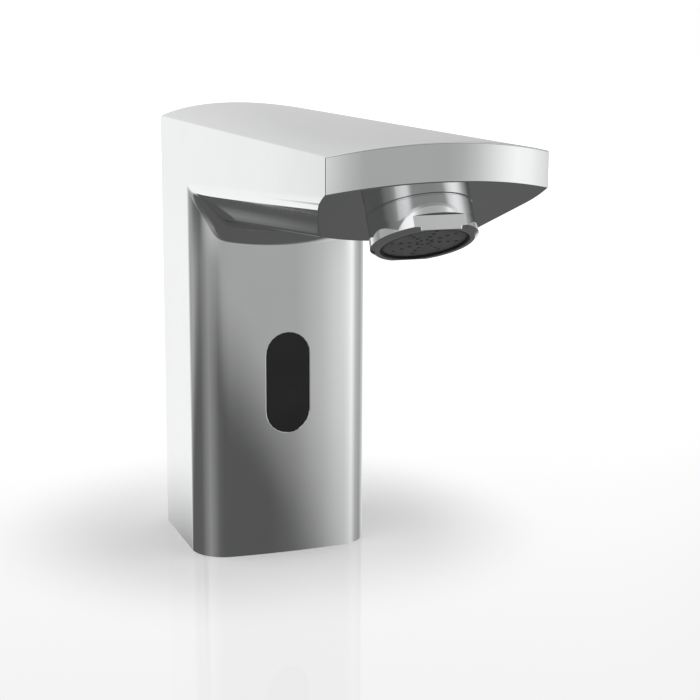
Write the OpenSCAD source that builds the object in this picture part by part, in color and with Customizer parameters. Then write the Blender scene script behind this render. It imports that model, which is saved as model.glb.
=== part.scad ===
// Basin tap with an infrared sensor: a chromed body that stands on the deck,
// with its valve, battery and sensor inside the column and its outlet in the
// slanted face at the end of the spout. Z is up, the spout points to -Y, and
// the origin is at deck level in the middle of the column.

/* [Body] */
// Width across the two flat sides
body_w = 60; // [50:0.5:70]
// Height of the top edge of each side above the deck
side_h = 142.9; // [120:0.5:165]
// Rise of the top from its side edges to its middle
crown_rise = 3.4; // [2.5:0.1:5]
// Depth of the column from the middle of its front to the middle of its back
column_d = 62; // [52:0.5:72]
// Bulge of the column's front across its width
column_bow = 2; // [1:0.1:3]
// Radius of the column's two front corners
corner_r = 11.6; // [10:0.1:13]
// Bulge of the column's back across its width
back_bow = 15.5; // [13:0.1:17]
// Wall of the column
column_wall = 4; // [3:0.1:4.5]

/* [Spout] */
// Reach from the column's centre to the middle of the spout's front
reach = 159.3; // [135:0.5:185]
// Bulge of the spout's front across its width
nose_bow = 6.3; // [4:0.1:8]
// Height of the upright front band at its two ends
nose_h = 9.5; // [8.5:0.1:10.5]
// Tilt of the slanted face that holds the outlet, in degrees
nose_tilt = 26.5; // [24:0.5:28]
// Depth of the spout where it leaves the column, under its side edges
spout_d = 32.4; // [30:0.1:36]
// Rise of the underside towards the front, in degrees
belly_rise = 4.2; // [3:0.1:4.6]
// Bulge of the underside across its width
belly_bow = 2.3; // [1.5:0.1:3]
// Width of the bevel along each lower edge
bevel_w = 7.6; // [6:0.1:9]
// Height of that bevel
bevel_h = 9.4; // [8:0.1:11]
// Rounding where the bevel meets the side
bevel_r = 6; // [4:0.1:8]
// Radius of the fillet where the spout leaves the column
throat_r = 6.4; // [4:0.1:8]
// Wall of the spout
spout_wall = 2.5; // [2:0.1:2.8]

/* [Outlet] */
// Distance from the ends of the front band back to the outlet's axis
outlet_back = 12.8; // [12:0.1:14]
// Diameter of the outlet housing
housing_d = 27.5; // [27:0.1:29]
// How far the housing stands out of the slanted face
housing_h = 8.9; // [8:0.1:11]
// Width across the housing's spanner flats
flats_w = 24; // [23.6:0.1:25]
// Height of the spanner flats above the housing's lower rim
flats_h = 3.8; // [3.5:0.1:5]
// Diameter of the housing's thread
thread_d = 24; // [23.5:0.1:24.3]
// Length of the housing's thread
thread_l = 5.4; // [5:0.1:6]
// Diameter of the perforated face that the water leaves through
spray_d = 22; // [20:0.1:22.2]
// Diameter of each hole in it
spray_hole_d = 1.1; // [0.6:0.1:1.3]
// Rows of holes, like spokes
spray_rows = 8; // [6:1:10]
// Holes in each row
spray_row_holes = 4; // [3:1:4]

/* [Sensor] */
// Width of the sensor window
window_w = 14.6; // [13:0.1:16]
// Height of the sensor window
window_h = 33.3; // [31:0.1:36]
// Height of the window's middle above the deck
window_z = 58.15; // [57:0.1:60]
// Depth of the window's face behind the column's front
window_inset = 0.4; // [0.2:0.1:0.8]
// Width of the rim that holds the window from inside
window_rim = 2; // [1.5:0.1:2.2]
// Distance of each optical part from the window's middle
sensor_pitch = 8; // [7.5:0.1:9]

/* [Base] */
// Thickness of the plate that closes the column's foot
plate_t = 10; // [9:0.5:12]
// Tapping diameter of the M8 hole for the fixing stud
stud_bore = 6.8; // [6:0.1:7]
// Depth of that hole
stud_depth = 9; // [7:0.1:9]
// Distance of the fixing stud in front of the column's centre
stud_y = 15; // [14.5:0.1:17]
// Diameter of the screws that hold the plate
base_screw_d = 4; // [3:0.1:4.4]

/* [Inlet] */
// Tapping diameter of the M10 fine thread for the hose
inlet_bore = 9; // [8.6:0.1:9.2]
// Depth of that thread
inlet_depth = 9; // [8:0.1:10]
// Outer diameter of the inlet fitting
inlet_d = 16; // [15:0.1:17]
// Stroke of the check valve
check_stroke = 2.5; // [1.5:0.1:3]

/* [Valve] */
// Height of the valve block
valve_h = 16; // [15.5:0.1:16.5]
// Thickness of the diaphragm's clamped rim
diaphragm_t = 1.5; // [1.2:0.1:2]
// Lift of the diaphragm
diaphragm_lift = 1.6; // [1.2:0.1:1.7]
// Stroke of the plunger
plunger_stroke = 2; // [1.8:0.1:2.4]
// Diameter of the plunger
plunger_d = 8.4; // [7.5:0.1:8.6]
// Diameter of the coil
coil_d = 20; // [19:0.1:20.2]
// Height of the coil
coil_h = 22; // [20:0.1:22.2]
// Outer diameter of the pipe to the outlet
pipe_d = 7; // [6.5:0.1:7.2]
// Bore of that pipe
pipe_bore = 5; // [4:0.1:5.4]
// Radius of the pipe's bend, to its middle
pipe_bend = 14; // [12:0.5:16]

/* [Battery] */
// Width of the battery
battery_w = 35; // [33:0.1:36]
// Depth of the battery
battery_d = 19.5; // [18:0.1:20]
// Wall of the battery's case
case_wall = 1.6; // [1.2:0.1:1.8]

/* [Hidden] */

// Clearance between pieces that are put together by hand
fit_gap = 0.1;
// Radial clearance of a piece that slides in a bore
run_gap = 0.05;
// How far every cut runs past the face that it opens
overrun = 1;
// Facets of round pieces
$fn = 64;

half_w = body_w / 2;
front_y = -column_d / 2;
back_y = column_d / 2;
top_z = side_h + crown_rise;
nose_end_y = -(reach - nose_bow);
nose_end_z = side_h - nose_h;
belly_h = side_h - spout_d;

// Radius of the arc that rises by rise over half its chord
function bow_r(half, rise) = (half * half + rise * rise) / (2 * rise);
// Points of an arc about (cx, cy), without its last point when open
function arc(cx, cy, r, a0, a1, n) =
    [for (i = [0 : n]) let (a = a0 + (a1 - a0) * i / n) [cx + r * cos(a), cy + r * sin(a)]];
function unit(v) = v / norm(v);

back_r = bow_r(half_w, back_bow);
front_r = bow_r(half_w, column_bow);
nose_r = bow_r(half_w, nose_bow);
crown_r = bow_r(half_w, crown_rise);
back_c = back_y - back_r;
front_c = front_y + front_r;
nose_c = -reach + nose_r;
crown_c = top_z - crown_r;
corner_x = half_w - corner_r;
corner_y = front_c - sqrt(pow(front_r - corner_r, 2) - pow(corner_x, 2));
// Angle at which a front corner's arc meets the bowed front
corner_a = atan2(corner_y - front_c, corner_x);
arc_steps = 12;

// Plan of the column, drawn inwards by inset
function column_outline(inset) =
    let (side_a = acos((half_w - inset) / (back_r - inset)))
    concat(
        arc(corner_x, corner_y, corner_r - inset, corner_a, 0, arc_steps),
        arc(0, back_c, back_r - inset, side_a, 180 - side_a, 2 * arc_steps),
        arc(-corner_x, corner_y, corner_r - inset, 180, 180 - corner_a, arc_steps),
        [for (i = [1 : arc_steps - 1])
            let (a = -180 - corner_a + (2 * corner_a + 180) * i / arc_steps)
            [(front_r - inset) * cos(a), front_c + (front_r - inset) * sin(a)]]);

// Plan of the whole body, from the column's back to the spout's front
function body_outline(inset) =
    let (side_a = acos((half_w - inset) / (back_r - inset)),
         nose_a = acos((half_w - inset) / (nose_r - inset)))
    concat(
        arc(0, back_c, back_r - inset, side_a, 180 - side_a, 2 * arc_steps),
        arc(0, nose_c, nose_r - inset, -180 + nose_a, -nose_a, 2 * arc_steps));

// Section across the body under its crown
function crown_section(inset) =
    let (side_a = acos((half_w - inset) / (crown_r - inset)))
    concat(
        [[-(half_w - inset), -overrun], [half_w - inset, -overrun]],
        arc(0, crown_c, crown_r - inset, side_a, 180 - side_a, 2 * arc_steps));

// Underside of the spout: bevels of tilt bevel_a, and a bow between them
belly_half = half_w - bevel_w;
belly_r = bow_r(belly_half, belly_bow);
bevel_a = atan2(bevel_w, bevel_h);
bevel_top = belly_bow + bevel_h + bevel_r * tan(bevel_a / 2);
belly_a = asin(belly_half / belly_r);
// Direction that halves the corner between bevel and bow, and half its turn
edge_dir = (-bevel_a - 90 + belly_a) / 2;
edge_turn = (90 - belly_a - bevel_a) / 2;

function belly_section(inset) =
    let (edge_x = belly_half - inset / cos(edge_turn) * cos(edge_dir),
         end_a = asin(edge_x / (belly_r - inset)))
    concat(
        [[half_w - inset, top_z]],
        arc(half_w - bevel_r, bevel_top, bevel_r - inset, 0, -bevel_a, arc_steps / 2),
        arc(0, belly_r, belly_r - inset, -90 + end_a, -90 - end_a, arc_steps),
        arc(-half_w + bevel_r, bevel_top, bevel_r - inset, -180 + bevel_a, -180, arc_steps / 2),
        [[-half_w + inset, top_z]]);

module crown_prism(inset) {
    translate([0, back_y + overrun, 0]) rotate([90, 0, 0])
        linear_extrude(reach + back_y + 2 * overrun) polygon(crown_section(inset));
}

module column_space(inset, roof, low) {
    intersection() {
        translate([0, 0, low]) linear_extrude(top_z) polygon(column_outline(inset));
        crown_prism(roof);
    }
}

module spout_space(inset) {
    intersection() {
        linear_extrude(top_z) polygon(body_outline(inset));
        crown_prism(inset);
        translate([0, front_y, belly_h]) rotate([-belly_rise, 0, 0])
            translate([0, column_d / 3, 0]) rotate([90, 0, 0])
                linear_extrude(reach + column_d) polygon(belly_section(inset));
        translate([0, nose_end_y, nose_end_z]) rotate([-nose_tilt, 0, 0])
            translate([-body_w, -reach, inset]) cube([2 * body_w, 2 * reach, top_z]);
    }
}

// The fillet between column and spout is the path of a ball of radius throat_r
// that rolls along both. Each station is a point of the underside's section.
throat_bury = 0.5;
// The stations stop short of each side, where the fillet has no width left
throat_end_share = 0.12;
spout_up = [0, sin(belly_rise), cos(belly_rise)];
spout_out = [0, -cos(belly_rise), sin(belly_rise)];
function belly_point(s) =
    s < 1 ? let (a = -bevel_a * s)
        [half_w - bevel_r + bevel_r * cos(a), bevel_top + bevel_r * sin(a), a]
    : s < 2 ? let (p = [half_w - bevel_r + bevel_r * cos(bevel_a), bevel_top - bevel_r * sin(bevel_a)],
                   q = [belly_half, belly_bow], t = s - 1)
        [p[0] + (q[0] - p[0]) * t, p[1] + (q[1] - p[1]) * t, -bevel_a]
    : let (a = -90 + belly_a * (3 - s))
        [belly_r * cos(a), belly_r + belly_r * sin(a), a];
// Ball's centre, direction to the column and direction to the spout
function throat_ball(s, side) =
    let (p = belly_point(s),
         n = [cos(p[2]), sin(p[2]) * spout_up[1], sin(p[2]) * spout_up[2]],
         x = p[0] + throat_r * n[0],
         on_bow = x <= (front_r + throat_r) * cos(corner_a),
         c = on_bow ? [0, front_c] : [corner_x, corner_y],
         far = on_bow ? front_r + throat_r : corner_r + throat_r,
         y = c[1] - sqrt(max(0, far * far - pow(x - c[0], 2))),
         along = (front_y + p[1] * spout_up[1] + throat_r * n[1] - y) / cos(belly_rise),
         z = belly_h + p[1] * spout_up[2] + throat_r * n[2] + along * sin(belly_rise),
         m = unit([c[0] - x, c[1] - y, 0]))
    [[side * x, y, z], [side * m[0], m[1], 0], [-side * n[0], -n[1], -n[2]]];
throat_arc_steps = 6;
function throat_ring(s, side) =
    let (b = throat_ball(s, side), w = acos(b[1] * b[2]), mid = unit(b[1] + b[2]))
    concat(
        [for (i = [0 : throat_arc_steps]) let (q = i / throat_arc_steps)
            b[0] + throat_r * (sin((1 - q) * w) * b[1] + sin(q * w) * b[2]) / sin(w)],
        [b[0] + (throat_r + throat_bury) * b[2],
         b[0] + (throat_r / cos(w / 2) + throat_bury) * mid,
         b[0] + (throat_r + throat_bury) * b[1]]);

throat_side_steps = 9;
throat_belly_steps = 4;
module throat() {
    side_step = (2 - throat_end_share) / throat_side_steps;
    belly_step = 1 / throat_belly_steps;
    stations = concat(
        [for (i = [0 : throat_side_steps - 1]) [throat_end_share + i * side_step, 1]],
        [for (i = [0 : throat_belly_steps]) [2 + i * belly_step, 1]],
        [for (i = [throat_belly_steps - 1 : -1 : 0]) [2 + i * belly_step, -1]],
        [for (i = [throat_side_steps - 1 : -1 : 0]) [throat_end_share + i * side_step, -1]]);
    rings = [for (t = stations) throat_ring(t[0], t[1])];
    m = len(rings[0]);
    n = len(rings);
    hub = m - 2;
    faces = concat(
        [for (i = [0 : n - 2], j = [0 : m - 1]) let (k = (j + 1) % m)
            [i * m + j, (i + 1) * m + k, i * m + k]],
        [for (i = [0 : n - 2], j = [0 : m - 1]) let (k = (j + 1) % m)
            [i * m + j, (i + 1) * m + j, (i + 1) * m + k]],
        [for (j = [0 : m - 1]) let (k = (j + 1) % m) if (j != hub && k != hub) [hub, j, k]],
        [for (j = [0 : m - 1]) let (k = (j + 1) % m) if (j != hub && k != hub)
            [(n - 1) * m + hub, (n - 1) * m + k, (n - 1) * m + j]]);
    polyhedron([for (r = rings, p = r) p], faces);
}

// Frame of the outlet: its axis is Z, and the water leaves towards -Z
outlet_y = nose_end_y + outlet_back;
outlet_z = nose_end_z - outlet_back * tan(nose_tilt);
module at_outlet() {
    translate([0, outlet_y, outlet_z]) rotate([-nose_tilt, 0, 0]) children();
}

// Upright slot with full round ends, from y = from towards -Y
module slot(w, h, from, depth) {
    translate([0, from, window_z]) rotate([90, 0, 0]) linear_extrude(depth) union() {
        square([w, h - w], center = true);
        for (s = [-1, 1]) translate([0, s * (h - w) / 2]) circle(d = w);
    }
}

// Tube of radius r along a path; side is never along the path
module sweep(path, r, sides, side) {
    n = len(path);
    rings = [for (i = [0 : n - 1])
        let (t = unit(path[min(i + 1, n - 1)] - path[max(i - 1, 0)]),
             u = unit(cross(t, side)), v = cross(t, u))
        [for (k = [0 : sides - 1]) let (a = 360 * k / sides)
            path[i] + r * (cos(a) * u + sin(a) * v)]];
    polyhedron([for (q = rings, p = q) p], concat(
        [for (i = [0 : n - 2], j = [0 : sides - 1]) let (k = (j + 1) % sides)
            [i * sides + j, i * sides + k, (i + 1) * sides + k]],
        [for (i = [0 : n - 2], j = [0 : sides - 1]) let (k = (j + 1) % sides)
            [i * sides + j, (i + 1) * sides + k, (i + 1) * sides + j]],
        [[for (j = [sides - 1 : -1 : 0]) j]],
        [[for (j = [0 : sides - 1]) (n - 1) * sides + j]]));
}

spring_sides = 6;
spring_steps = 10;
module spring(low, high, coil_r, wire_r, turns) {
    steps = turns * spring_steps;
    span = high - low - 2 * wire_r;
    sweep([for (i = [0 : steps]) let (a = 360 * i / spring_steps)
        [coil_r * cos(a), coil_r * sin(a), low + wire_r + span * i / steps]],
        wire_r, spring_sides, [0, 0, 1]);
}

// Ring with its axis on Z, used for washers, bushes and seals
module ring(outer_r, inner_r, low, high) {
    difference() {
        translate([0, 0, low]) cylinder(r = outer_r, h = high - low);
        translate([0, 0, low - overrun]) cylinder(r = inner_r, h = high - low + 2 * overrun);
    }
}
module o_ring(r, section, z) {
    translate([0, 0, z]) rotate_extrude() translate([r, 0]) circle(r = section);
}
// Screw that points up from its flat head at z = 0
module screw(d, length, head_d, head_h, drive) {
    difference() {
        union() {
            cylinder(d = head_d, h = head_h);
            cylinder(d = d, h = length);
        }
        translate([0, 0, -overrun]) cylinder(d = drive / cos(30), h = overrun + head_h / 2, $fn = 6);
    }
}

// Lugs inside the column take the screws of the base plate
lug_r = 4.2;
lug_h = 12;
lug_inset = 18;
lug_front_y = front_y + lug_inset;
lug_back_y = back_y - lug_inset;
lug_wall = 0.9;
lug_x = half_w - column_wall - lug_r - lug_wall;
base_head_d = 7.4;
base_head_h = 2.4;
base_screw_l = plate_t + lug_h - 2 * overrun;
module at_lugs() {
    for (x = [-lug_x, lug_x], y = [lug_front_y, lug_back_y]) translate([x, y, 0]) children();
}

seal_in = 1.2;
seal_w = 1.6;
seal_h = 1.5;

// Rear faces of what lies behind the window, from front to back
sensor_share = 0.153;
sensor_d = column_d * sensor_share;
pad_y = front_y + column_wall - window_rim / 10;
gasket_t = 1;
flange_t = 1.2;
gasket_y = pad_y + gasket_t;
flange_y = gasket_y + flange_t;
sensor_back_y = flange_y + sensor_d;
sensor_wall = 1.5;
rim_w = window_w + 2 * window_rim;
rim_h = window_h + 2 * window_rim;
boss_x = 15;
boss_r = 3.4;
bracket_screw_d = 3;

module body() {
    color("silver") difference() {
        union() {
            column_space(0, 0, 0);
            spout_space(0);
            throat();
        }
        difference() {
            union() {
                column_space(column_wall, spout_wall + overrun / 2, -overrun);
                spout_space(spout_wall);
            }
            // Lugs for the base plate
            for (x = [-1, 1], y = [lug_front_y, lug_back_y]) {
                translate([x * lug_x, y, plate_t]) cylinder(r = lug_r, h = lug_h);
                translate([x * (lug_x + lug_r), y, plate_t + lug_h / 2])
                    cube([2 * lug_r, 2 * lug_r, lug_h], center = true);
            }
            // Bosses for the sensor's bracket
            for (x = [-boss_x, boss_x]) translate([x, sensor_back_y, window_z])
                rotate([90, 0, 0]) cylinder(r = boss_r, h = sensor_back_y - pad_y + column_wall / 2);
        }
        at_lugs() translate([0, 0, plate_t - overrun]) cylinder(d = base_screw_d + 2 * run_gap, h = lug_h);
        for (x = [-boss_x, boss_x]) translate([x, sensor_back_y + overrun, window_z])
            rotate([90, 0, 0]) cylinder(d = bracket_screw_d + 2 * run_gap, h = sensor_d);
        // Window opening, with a flat pad behind it
        slot(window_w + 2 * fit_gap, window_h + 2 * fit_gap, 0, column_d);
        slot(rim_w + 2 * fit_gap, rim_h + 2 * fit_gap, 0, -pad_y);
        // Outlet
        at_outlet() translate([0, 0, -overrun])
            cylinder(d = thread_d + 2 * fit_gap, h = spout_wall + 2 * overrun);
        // Groove for the seal under the rim
        translate([0, 0, -overrun]) linear_extrude(seal_h + overrun) difference() {
            polygon(column_outline(seal_in));
            polygon(column_outline(seal_in + seal_w));
        }
    }
}

module deck_seal() {
    color("dimgray") linear_extrude(seal_h) difference() {
        polygon(column_outline(seal_in));
        polygon(column_outline(seal_in + seal_w));
    }
}

// The inlet, the valve and the coil stand on the upright axis through the origin
inlet_r = inlet_d / 2;
inlet_shoulder = 1.4;
flange_r = inlet_r + inlet_shoulder;
inlet_flange_t = 3;
sheet_t = 1.5;
leg_inset = 3.5;
leg_x = half_w - column_wall - leg_inset - sheet_t;
foot_screw_inset = 4;
foot_screw_x = leg_x - foot_screw_inset;
foot_screw_d = 3;
foot_screw_l = 7;
module base_plate() {
    color("goldenrod") difference() {
        linear_extrude(plate_t) polygon(column_outline(column_wall + fit_gap));
        translate([0, 0, -overrun])
            cylinder(r = inlet_r + fit_gap, h = plate_t + 2 * overrun);
        translate([0, -stud_y, -overrun]) cylinder(d = stud_bore, h = stud_depth + overrun);
        at_lugs() {
            translate([0, 0, -overrun]) cylinder(d = base_screw_d + 2 * fit_gap, h = plate_t + 2 * overrun);
            translate([0, 0, -overrun]) cylinder(d = base_head_d + 2 * fit_gap, h = base_head_h + overrun);
        }
        for (x = [-foot_screw_x, foot_screw_x]) translate([x, 0, plate_t - foot_screw_l])
            cylinder(d = foot_screw_d + 2 * run_gap, h = foot_screw_l + overrun);
    }
}

module base_screws() {
    color("gainsboro") at_lugs()
        screw(base_screw_d, base_screw_l, base_head_d, base_head_h, base_screw_d / 2);
}

// Inside of the inlet fitting, from the hose thread upwards
inlet_top = 30;
spigot_l = 5;
spigot_r = 5.5;
spigot_bore = 6;
cartridge_step = 0.4;
cartridge_bore_r = inlet_bore / 2 - cartridge_step;
cartridge_r = cartridge_bore_r - run_gap;
filter_h = 5;
filter_t = 0.8;
seat_t = 2;
seat_bore = 4.6;
seat_z = inlet_depth + filter_h + filter_t;
poppet_t = 1.4;
poppet_r = 3.2;
stem_r = 1;
guide_t = 2;
spring_solid_h = 4.25;
guide_z = seat_z + seat_t + run_gap + poppet_t + check_stroke + spring_solid_h;
cartridge_top = guide_z + guide_t;
inlet_o_section = 0.5;

module inlet_fitting() {
    color("goldenrod") difference() {
        union() {
            cylinder(r = inlet_r, h = inlet_top);
            ring(flange_r, inlet_r - overrun, plate_t, plate_t + inlet_flange_t);
            cylinder(r = spigot_r, h = inlet_top + spigot_l);
        }
        translate([0, 0, -overrun]) cylinder(d = inlet_bore, h = inlet_depth + overrun);
        cylinder(r = cartridge_bore_r, h = cartridge_top);
        cylinder(d = spigot_bore, h = inlet_top + spigot_l + overrun);
        // Groove for the seal in the valve block
        difference() {
            translate([0, 0, inlet_top + spigot_l / 2 - 1.2 * inlet_o_section])
                cylinder(r = spigot_r + overrun, h = 2.4 * inlet_o_section);
            cylinder(r = spigot_r - 2 * inlet_o_section + run_gap, h = inlet_top + spigot_l);
        }
    }
}

module inlet_o_ring() {
    color("dimgray")
        o_ring(spigot_r - inlet_o_section + run_gap, inlet_o_section - run_gap / 2,
            inlet_top + spigot_l / 2);
}

filter_holes = 8;
module inlet_filter() {
    filter_low = inlet_depth;
    color("lightgray") difference() {
        union() {
            ring(cartridge_r, cartridge_r - filter_t, filter_low, filter_low + filter_h);
            translate([0, 0, filter_low + filter_h]) cylinder(r = cartridge_r, h = filter_t);
        }
        for (ring_share = [0.3, 0.6], i = [0 : filter_holes - 1]) rotate(360 * i / filter_holes)
            translate([cartridge_r * ring_share, 0, filter_low + filter_h - overrun])
                cylinder(d = filter_t, h = filter_t + 2 * overrun);
    }
}

module check_valve_seat() {
    color("white") ring(cartridge_r, seat_bore / 2, seat_z, seat_z + seat_t);
}

module check_valve_poppet() {
    low = seat_z + seat_t + run_gap;
    color("orange") {
        translate([0, 0, low]) cylinder(r = poppet_r, h = poppet_t);
        translate([0, 0, low]) cylinder(r = stem_r, h = guide_z + guide_t - low);
    }
}

check_wire_r = 0.2;
module check_valve_spring() {
    low = seat_z + seat_t + run_gap + poppet_t;
    color("lightgray")
        spring(low, guide_z, stem_r + 4 * check_wire_r, check_wire_r, 4);
}

module check_valve_guide() {
    color("white") difference() {
        ring(cartridge_r, stem_r + run_gap, guide_z, guide_z + guide_t);
        for (i = [0 : 3]) rotate(90 * i) translate([(cartridge_r + stem_r) / 2, 0, guide_z - overrun])
            cylinder(r = (cartridge_r - stem_r) / 4, h = guide_t + 2 * overrun);
    }
}

// Valve block on the fitting's shoulder, then diaphragm, bonnet and coil
valve_share = 0.4355;
valve_w = column_d * valve_share;
block_low = inlet_top;
block_top = block_low + valve_h;
bonnet_low = block_top + diaphragm_t;
bonnet_roof = 1.5;
bonnet_room = 2.4;
bonnet_h = diaphragm_lift + bonnet_room + bonnet_roof;
bonnet_top = bonnet_low + bonnet_h;
seat_ring_r = 5.4;
seat_ring_bore = 4;
diaphragm_inset = 0.9;
diaphragm_r = valve_w / 2 - diaphragm_inset;
clamp_w = 2.3;
chamber_r = diaphragm_r - clamp_w;
chamber_h = 3;
gallery_h = 2;
floor_t = 1.4;
feed_r = 1.2;
feed_x = (seat_ring_r + chamber_r) / 2;
gallery_r = feed_x + 1.2 * feed_r;
drain_r = 1.8;
web_t = 0.8;
web_lift = 0.35;
pilot_d = 1.2;
valve_screw_inset = 2.7;
valve_screw_x = valve_w / 2 - valve_screw_inset;
valve_screw_d = 2.5;
valve_screw_l = 13;
pipe_r = pipe_d / 2;
pipe_inset = 8;
pipe_y = back_y - column_wall - pipe_inset;
port_wall = 0.8;
o_section = 0.42;
port_reach = pipe_y + pipe_r + 2 * o_section + port_wall;
socket_l = 8;
pipe_low = block_top - socket_l;

module valve_block() {
    color("goldenrod") difference() {
        union() {
            translate([-valve_w / 2, -valve_w / 2, block_low]) cube([valve_w, valve_w, valve_h]);
            translate([-pipe_r - 2 * port_wall, 0, block_low])
                cube([pipe_d + 4 * port_wall, port_reach, valve_h]);
        }
        {
            translate([0, 0, block_low - overrun]) cylinder(r = spigot_r + run_gap, h = spigot_l + overrun);
            // Gallery under the floor, and four holes from it up to the ring chamber
            translate([0, 0, block_low + spigot_l]) cylinder(r = gallery_r, h = gallery_h);
            for (a = [45 : 90 : 315]) rotate(a) translate([feed_x, 0, block_low + spigot_l])
                cylinder(r = feed_r, h = valve_h - spigot_l);
            translate([0, 0, block_low + spigot_l + gallery_h + floor_t])
                cylinder(r = seat_ring_bore, h = valve_h);
            difference() {
                translate([0, 0, block_top - chamber_h]) cylinder(r = chamber_r, h = chamber_h + overrun);
                cylinder(r = seat_ring_r, h = block_top);
            }
            for (a = [45 : 90 : 315]) rotate(a)
                translate([valve_screw_x * sqrt(2), 0, block_top + bonnet_h + diaphragm_t - valve_screw_l])
                    cylinder(d = valve_screw_d + 2 * run_gap, h = valve_screw_l);
        }
        // Way from the seat's bore to the pipe's socket, under the ring chamber
        translate([0, 0, block_low + spigot_l + gallery_h + floor_t + drain_r + port_wall / 2])
            rotate([-90, 0, 0]) cylinder(r = drain_r, h = pipe_y);
        translate([0, pipe_y, pipe_low]) cylinder(r = pipe_r + run_gap, h = socket_l + overrun);
        translate([0, pipe_y, block_low + spigot_l + gallery_h]) cylinder(d = pipe_bore, h = valve_h);
        translate([0, pipe_y, block_top - socket_l / 2 - 1.2 * o_section])
            cylinder(r = pipe_r + 2 * o_section, h = 2.4 * o_section);
    }
}

plate_rim = 1;
plate_r = seat_ring_r + plate_rim;
module diaphragm() {
    color("dimgray") {
        ring(diaphragm_r, chamber_r + fit_gap, block_top, bonnet_low);
        ring(chamber_r + 2 * fit_gap, plate_r + fit_gap,
            block_top + web_lift, block_top + web_lift + web_t);
    }
}

plate_low = block_top + run_gap;
module diaphragm_plate() {
    color("white") difference() {
        union() {
            ring(plate_r, pilot_d / 2, plate_low, plate_low + 2 * web_t);
            ring(pilot_d, pilot_d / 2, plate_low, plate_low + 3 * web_t);
        }
        translate([0, 0, plate_low - overrun]) cylinder(d = pilot_d, h = valve_h);
    }
}

tube_r = plunger_d / 2 + run_gap;
tube_wall = 0.7;
tube_outer_r = tube_r + tube_wall;
tube_flange_w = 2;
tube_flange_r = tube_outer_r + tube_flange_w;
tube_flange_t = 1;
tube_l = 28;
tube_top = bonnet_top + tube_l;
plunger_low = plate_low + 3 * web_t + run_gap;
plunger_l = 18;
core_low = plunger_low + plunger_l + plunger_stroke + run_gap;
spring_wire_r = 0.35;
spring_pocket_h = 4;
tip_r = 2;
tip_h = 1.5;

module valve_bonnet() {
    color("dimgray") difference() {
        translate([-valve_w / 2, -valve_w / 2, block_top])
            cube([valve_w, valve_w, diaphragm_t + bonnet_h]);
        translate([0, 0, block_top - overrun])
            cylinder(r = diaphragm_r + fit_gap, h = diaphragm_t + overrun);
        translate([0, 0, block_top])
            cylinder(r = chamber_r, h = diaphragm_t + bonnet_h - bonnet_roof);
        cylinder(r = tube_outer_r + run_gap, h = bonnet_top + overrun);
        for (a = [45 : 90 : 315]) rotate(a) translate([valve_screw_x * sqrt(2), 0, 0])
            cylinder(d = valve_screw_d + 2 * fit_gap, h = bonnet_top + overrun);
    }
}

valve_head_d = 4.4;
valve_head_h = 1.4;
module bonnet_screws() {
    color("gainsboro") for (a = [45 : 90 : 315]) rotate(a)
        translate([valve_screw_x * sqrt(2), 0, bonnet_top + valve_head_h]) rotate([180, 0, 0])
            screw(valve_screw_d, valve_screw_l - overrun, valve_head_d, valve_head_h, valve_screw_d / 2);
}

module armature_tube() {
    color("lightgray") {
        ring(tube_outer_r, tube_r, bonnet_top - bonnet_roof - tube_flange_t, tube_top);
        ring(tube_flange_r, tube_r + tube_wall / 2, bonnet_top - bonnet_roof - tube_flange_t,
            bonnet_top - bonnet_roof);
    }
}

module fixed_core() {
    color("slategray") {
        ring(tube_r - run_gap / 2, tip_r + 3 * spring_wire_r, core_low, core_low + spring_pocket_h);
        translate([0, 0, core_low + spring_pocket_h])
            cylinder(r = tube_r - run_gap / 2, h = tube_top - core_low - spring_pocket_h);
        translate([0, 0, tube_top]) cylinder(r = tube_outer_r, h = tube_wall);
    }
}

module plunger() {
    color("slategray") {
        translate([0, 0, plunger_low]) cylinder(r = tip_r, h = tip_h + overrun);
        translate([0, 0, plunger_low + tip_h]) cylinder(d = plunger_d, h = plunger_l - tip_h);
    }
}

module plunger_spring() {
    color("lightgray")
        spring(plunger_low + plunger_l, core_low + spring_pocket_h,
            tip_r + spring_wire_r, spring_wire_r, 4);
}

yoke_t = 1.6;
yoke_d = 15;
coil_low = bonnet_top + valve_head_h + yoke_t;
coil_top = coil_low + coil_h;
bobbin_t = 1.2;
winding_in = tube_outer_r + run_gap + bobbin_t;
module coil_bobbin() {
    color("black") {
        ring(winding_in, tube_outer_r + run_gap, coil_low, coil_top);
        ring(coil_d / 2, winding_in - bobbin_t / 2, coil_low, coil_low + bobbin_t);
        ring(coil_d / 2, winding_in - bobbin_t / 2, coil_top - bobbin_t, coil_top);
    }
}

module coil_winding() {
    color("chocolate")
        ring(coil_d / 2 - bobbin_t / 2, winding_in, coil_low + bobbin_t, coil_top - bobbin_t);
}

yoke_x = coil_d / 2 + fit_gap;
module coil_yoke() {
    color("lightgray") difference() {
        translate([-yoke_x - yoke_t, -yoke_d / 2, coil_low - yoke_t])
            cube([2 * (yoke_x + yoke_t), yoke_d, coil_h + 2 * yoke_t]);
        translate([-yoke_x, -yoke_d, coil_low]) cube([2 * yoke_x, 2 * yoke_d, coil_h]);
        cylinder(r = tube_outer_r + run_gap, h = tube_top);
        // Clear of the heads of the bonnet's screws
        for (a = [45 : 90 : 315]) rotate(a) translate([valve_screw_x * sqrt(2), 0, 0])
            cylinder(d = valve_head_d + 2 * fit_gap, h = bonnet_top + valve_head_h);
    }
}

nut_w = 13;
module coil_nut() {
    nut_low = coil_top + yoke_t;
    color("lightgray") difference() {
        translate([0, 0, nut_low]) cylinder(d = nut_w / cos(30), h = tube_top - nut_low, $fn = 6);
        cylinder(r = tube_outer_r + run_gap, h = tube_top + overrun);
    }
}

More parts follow.
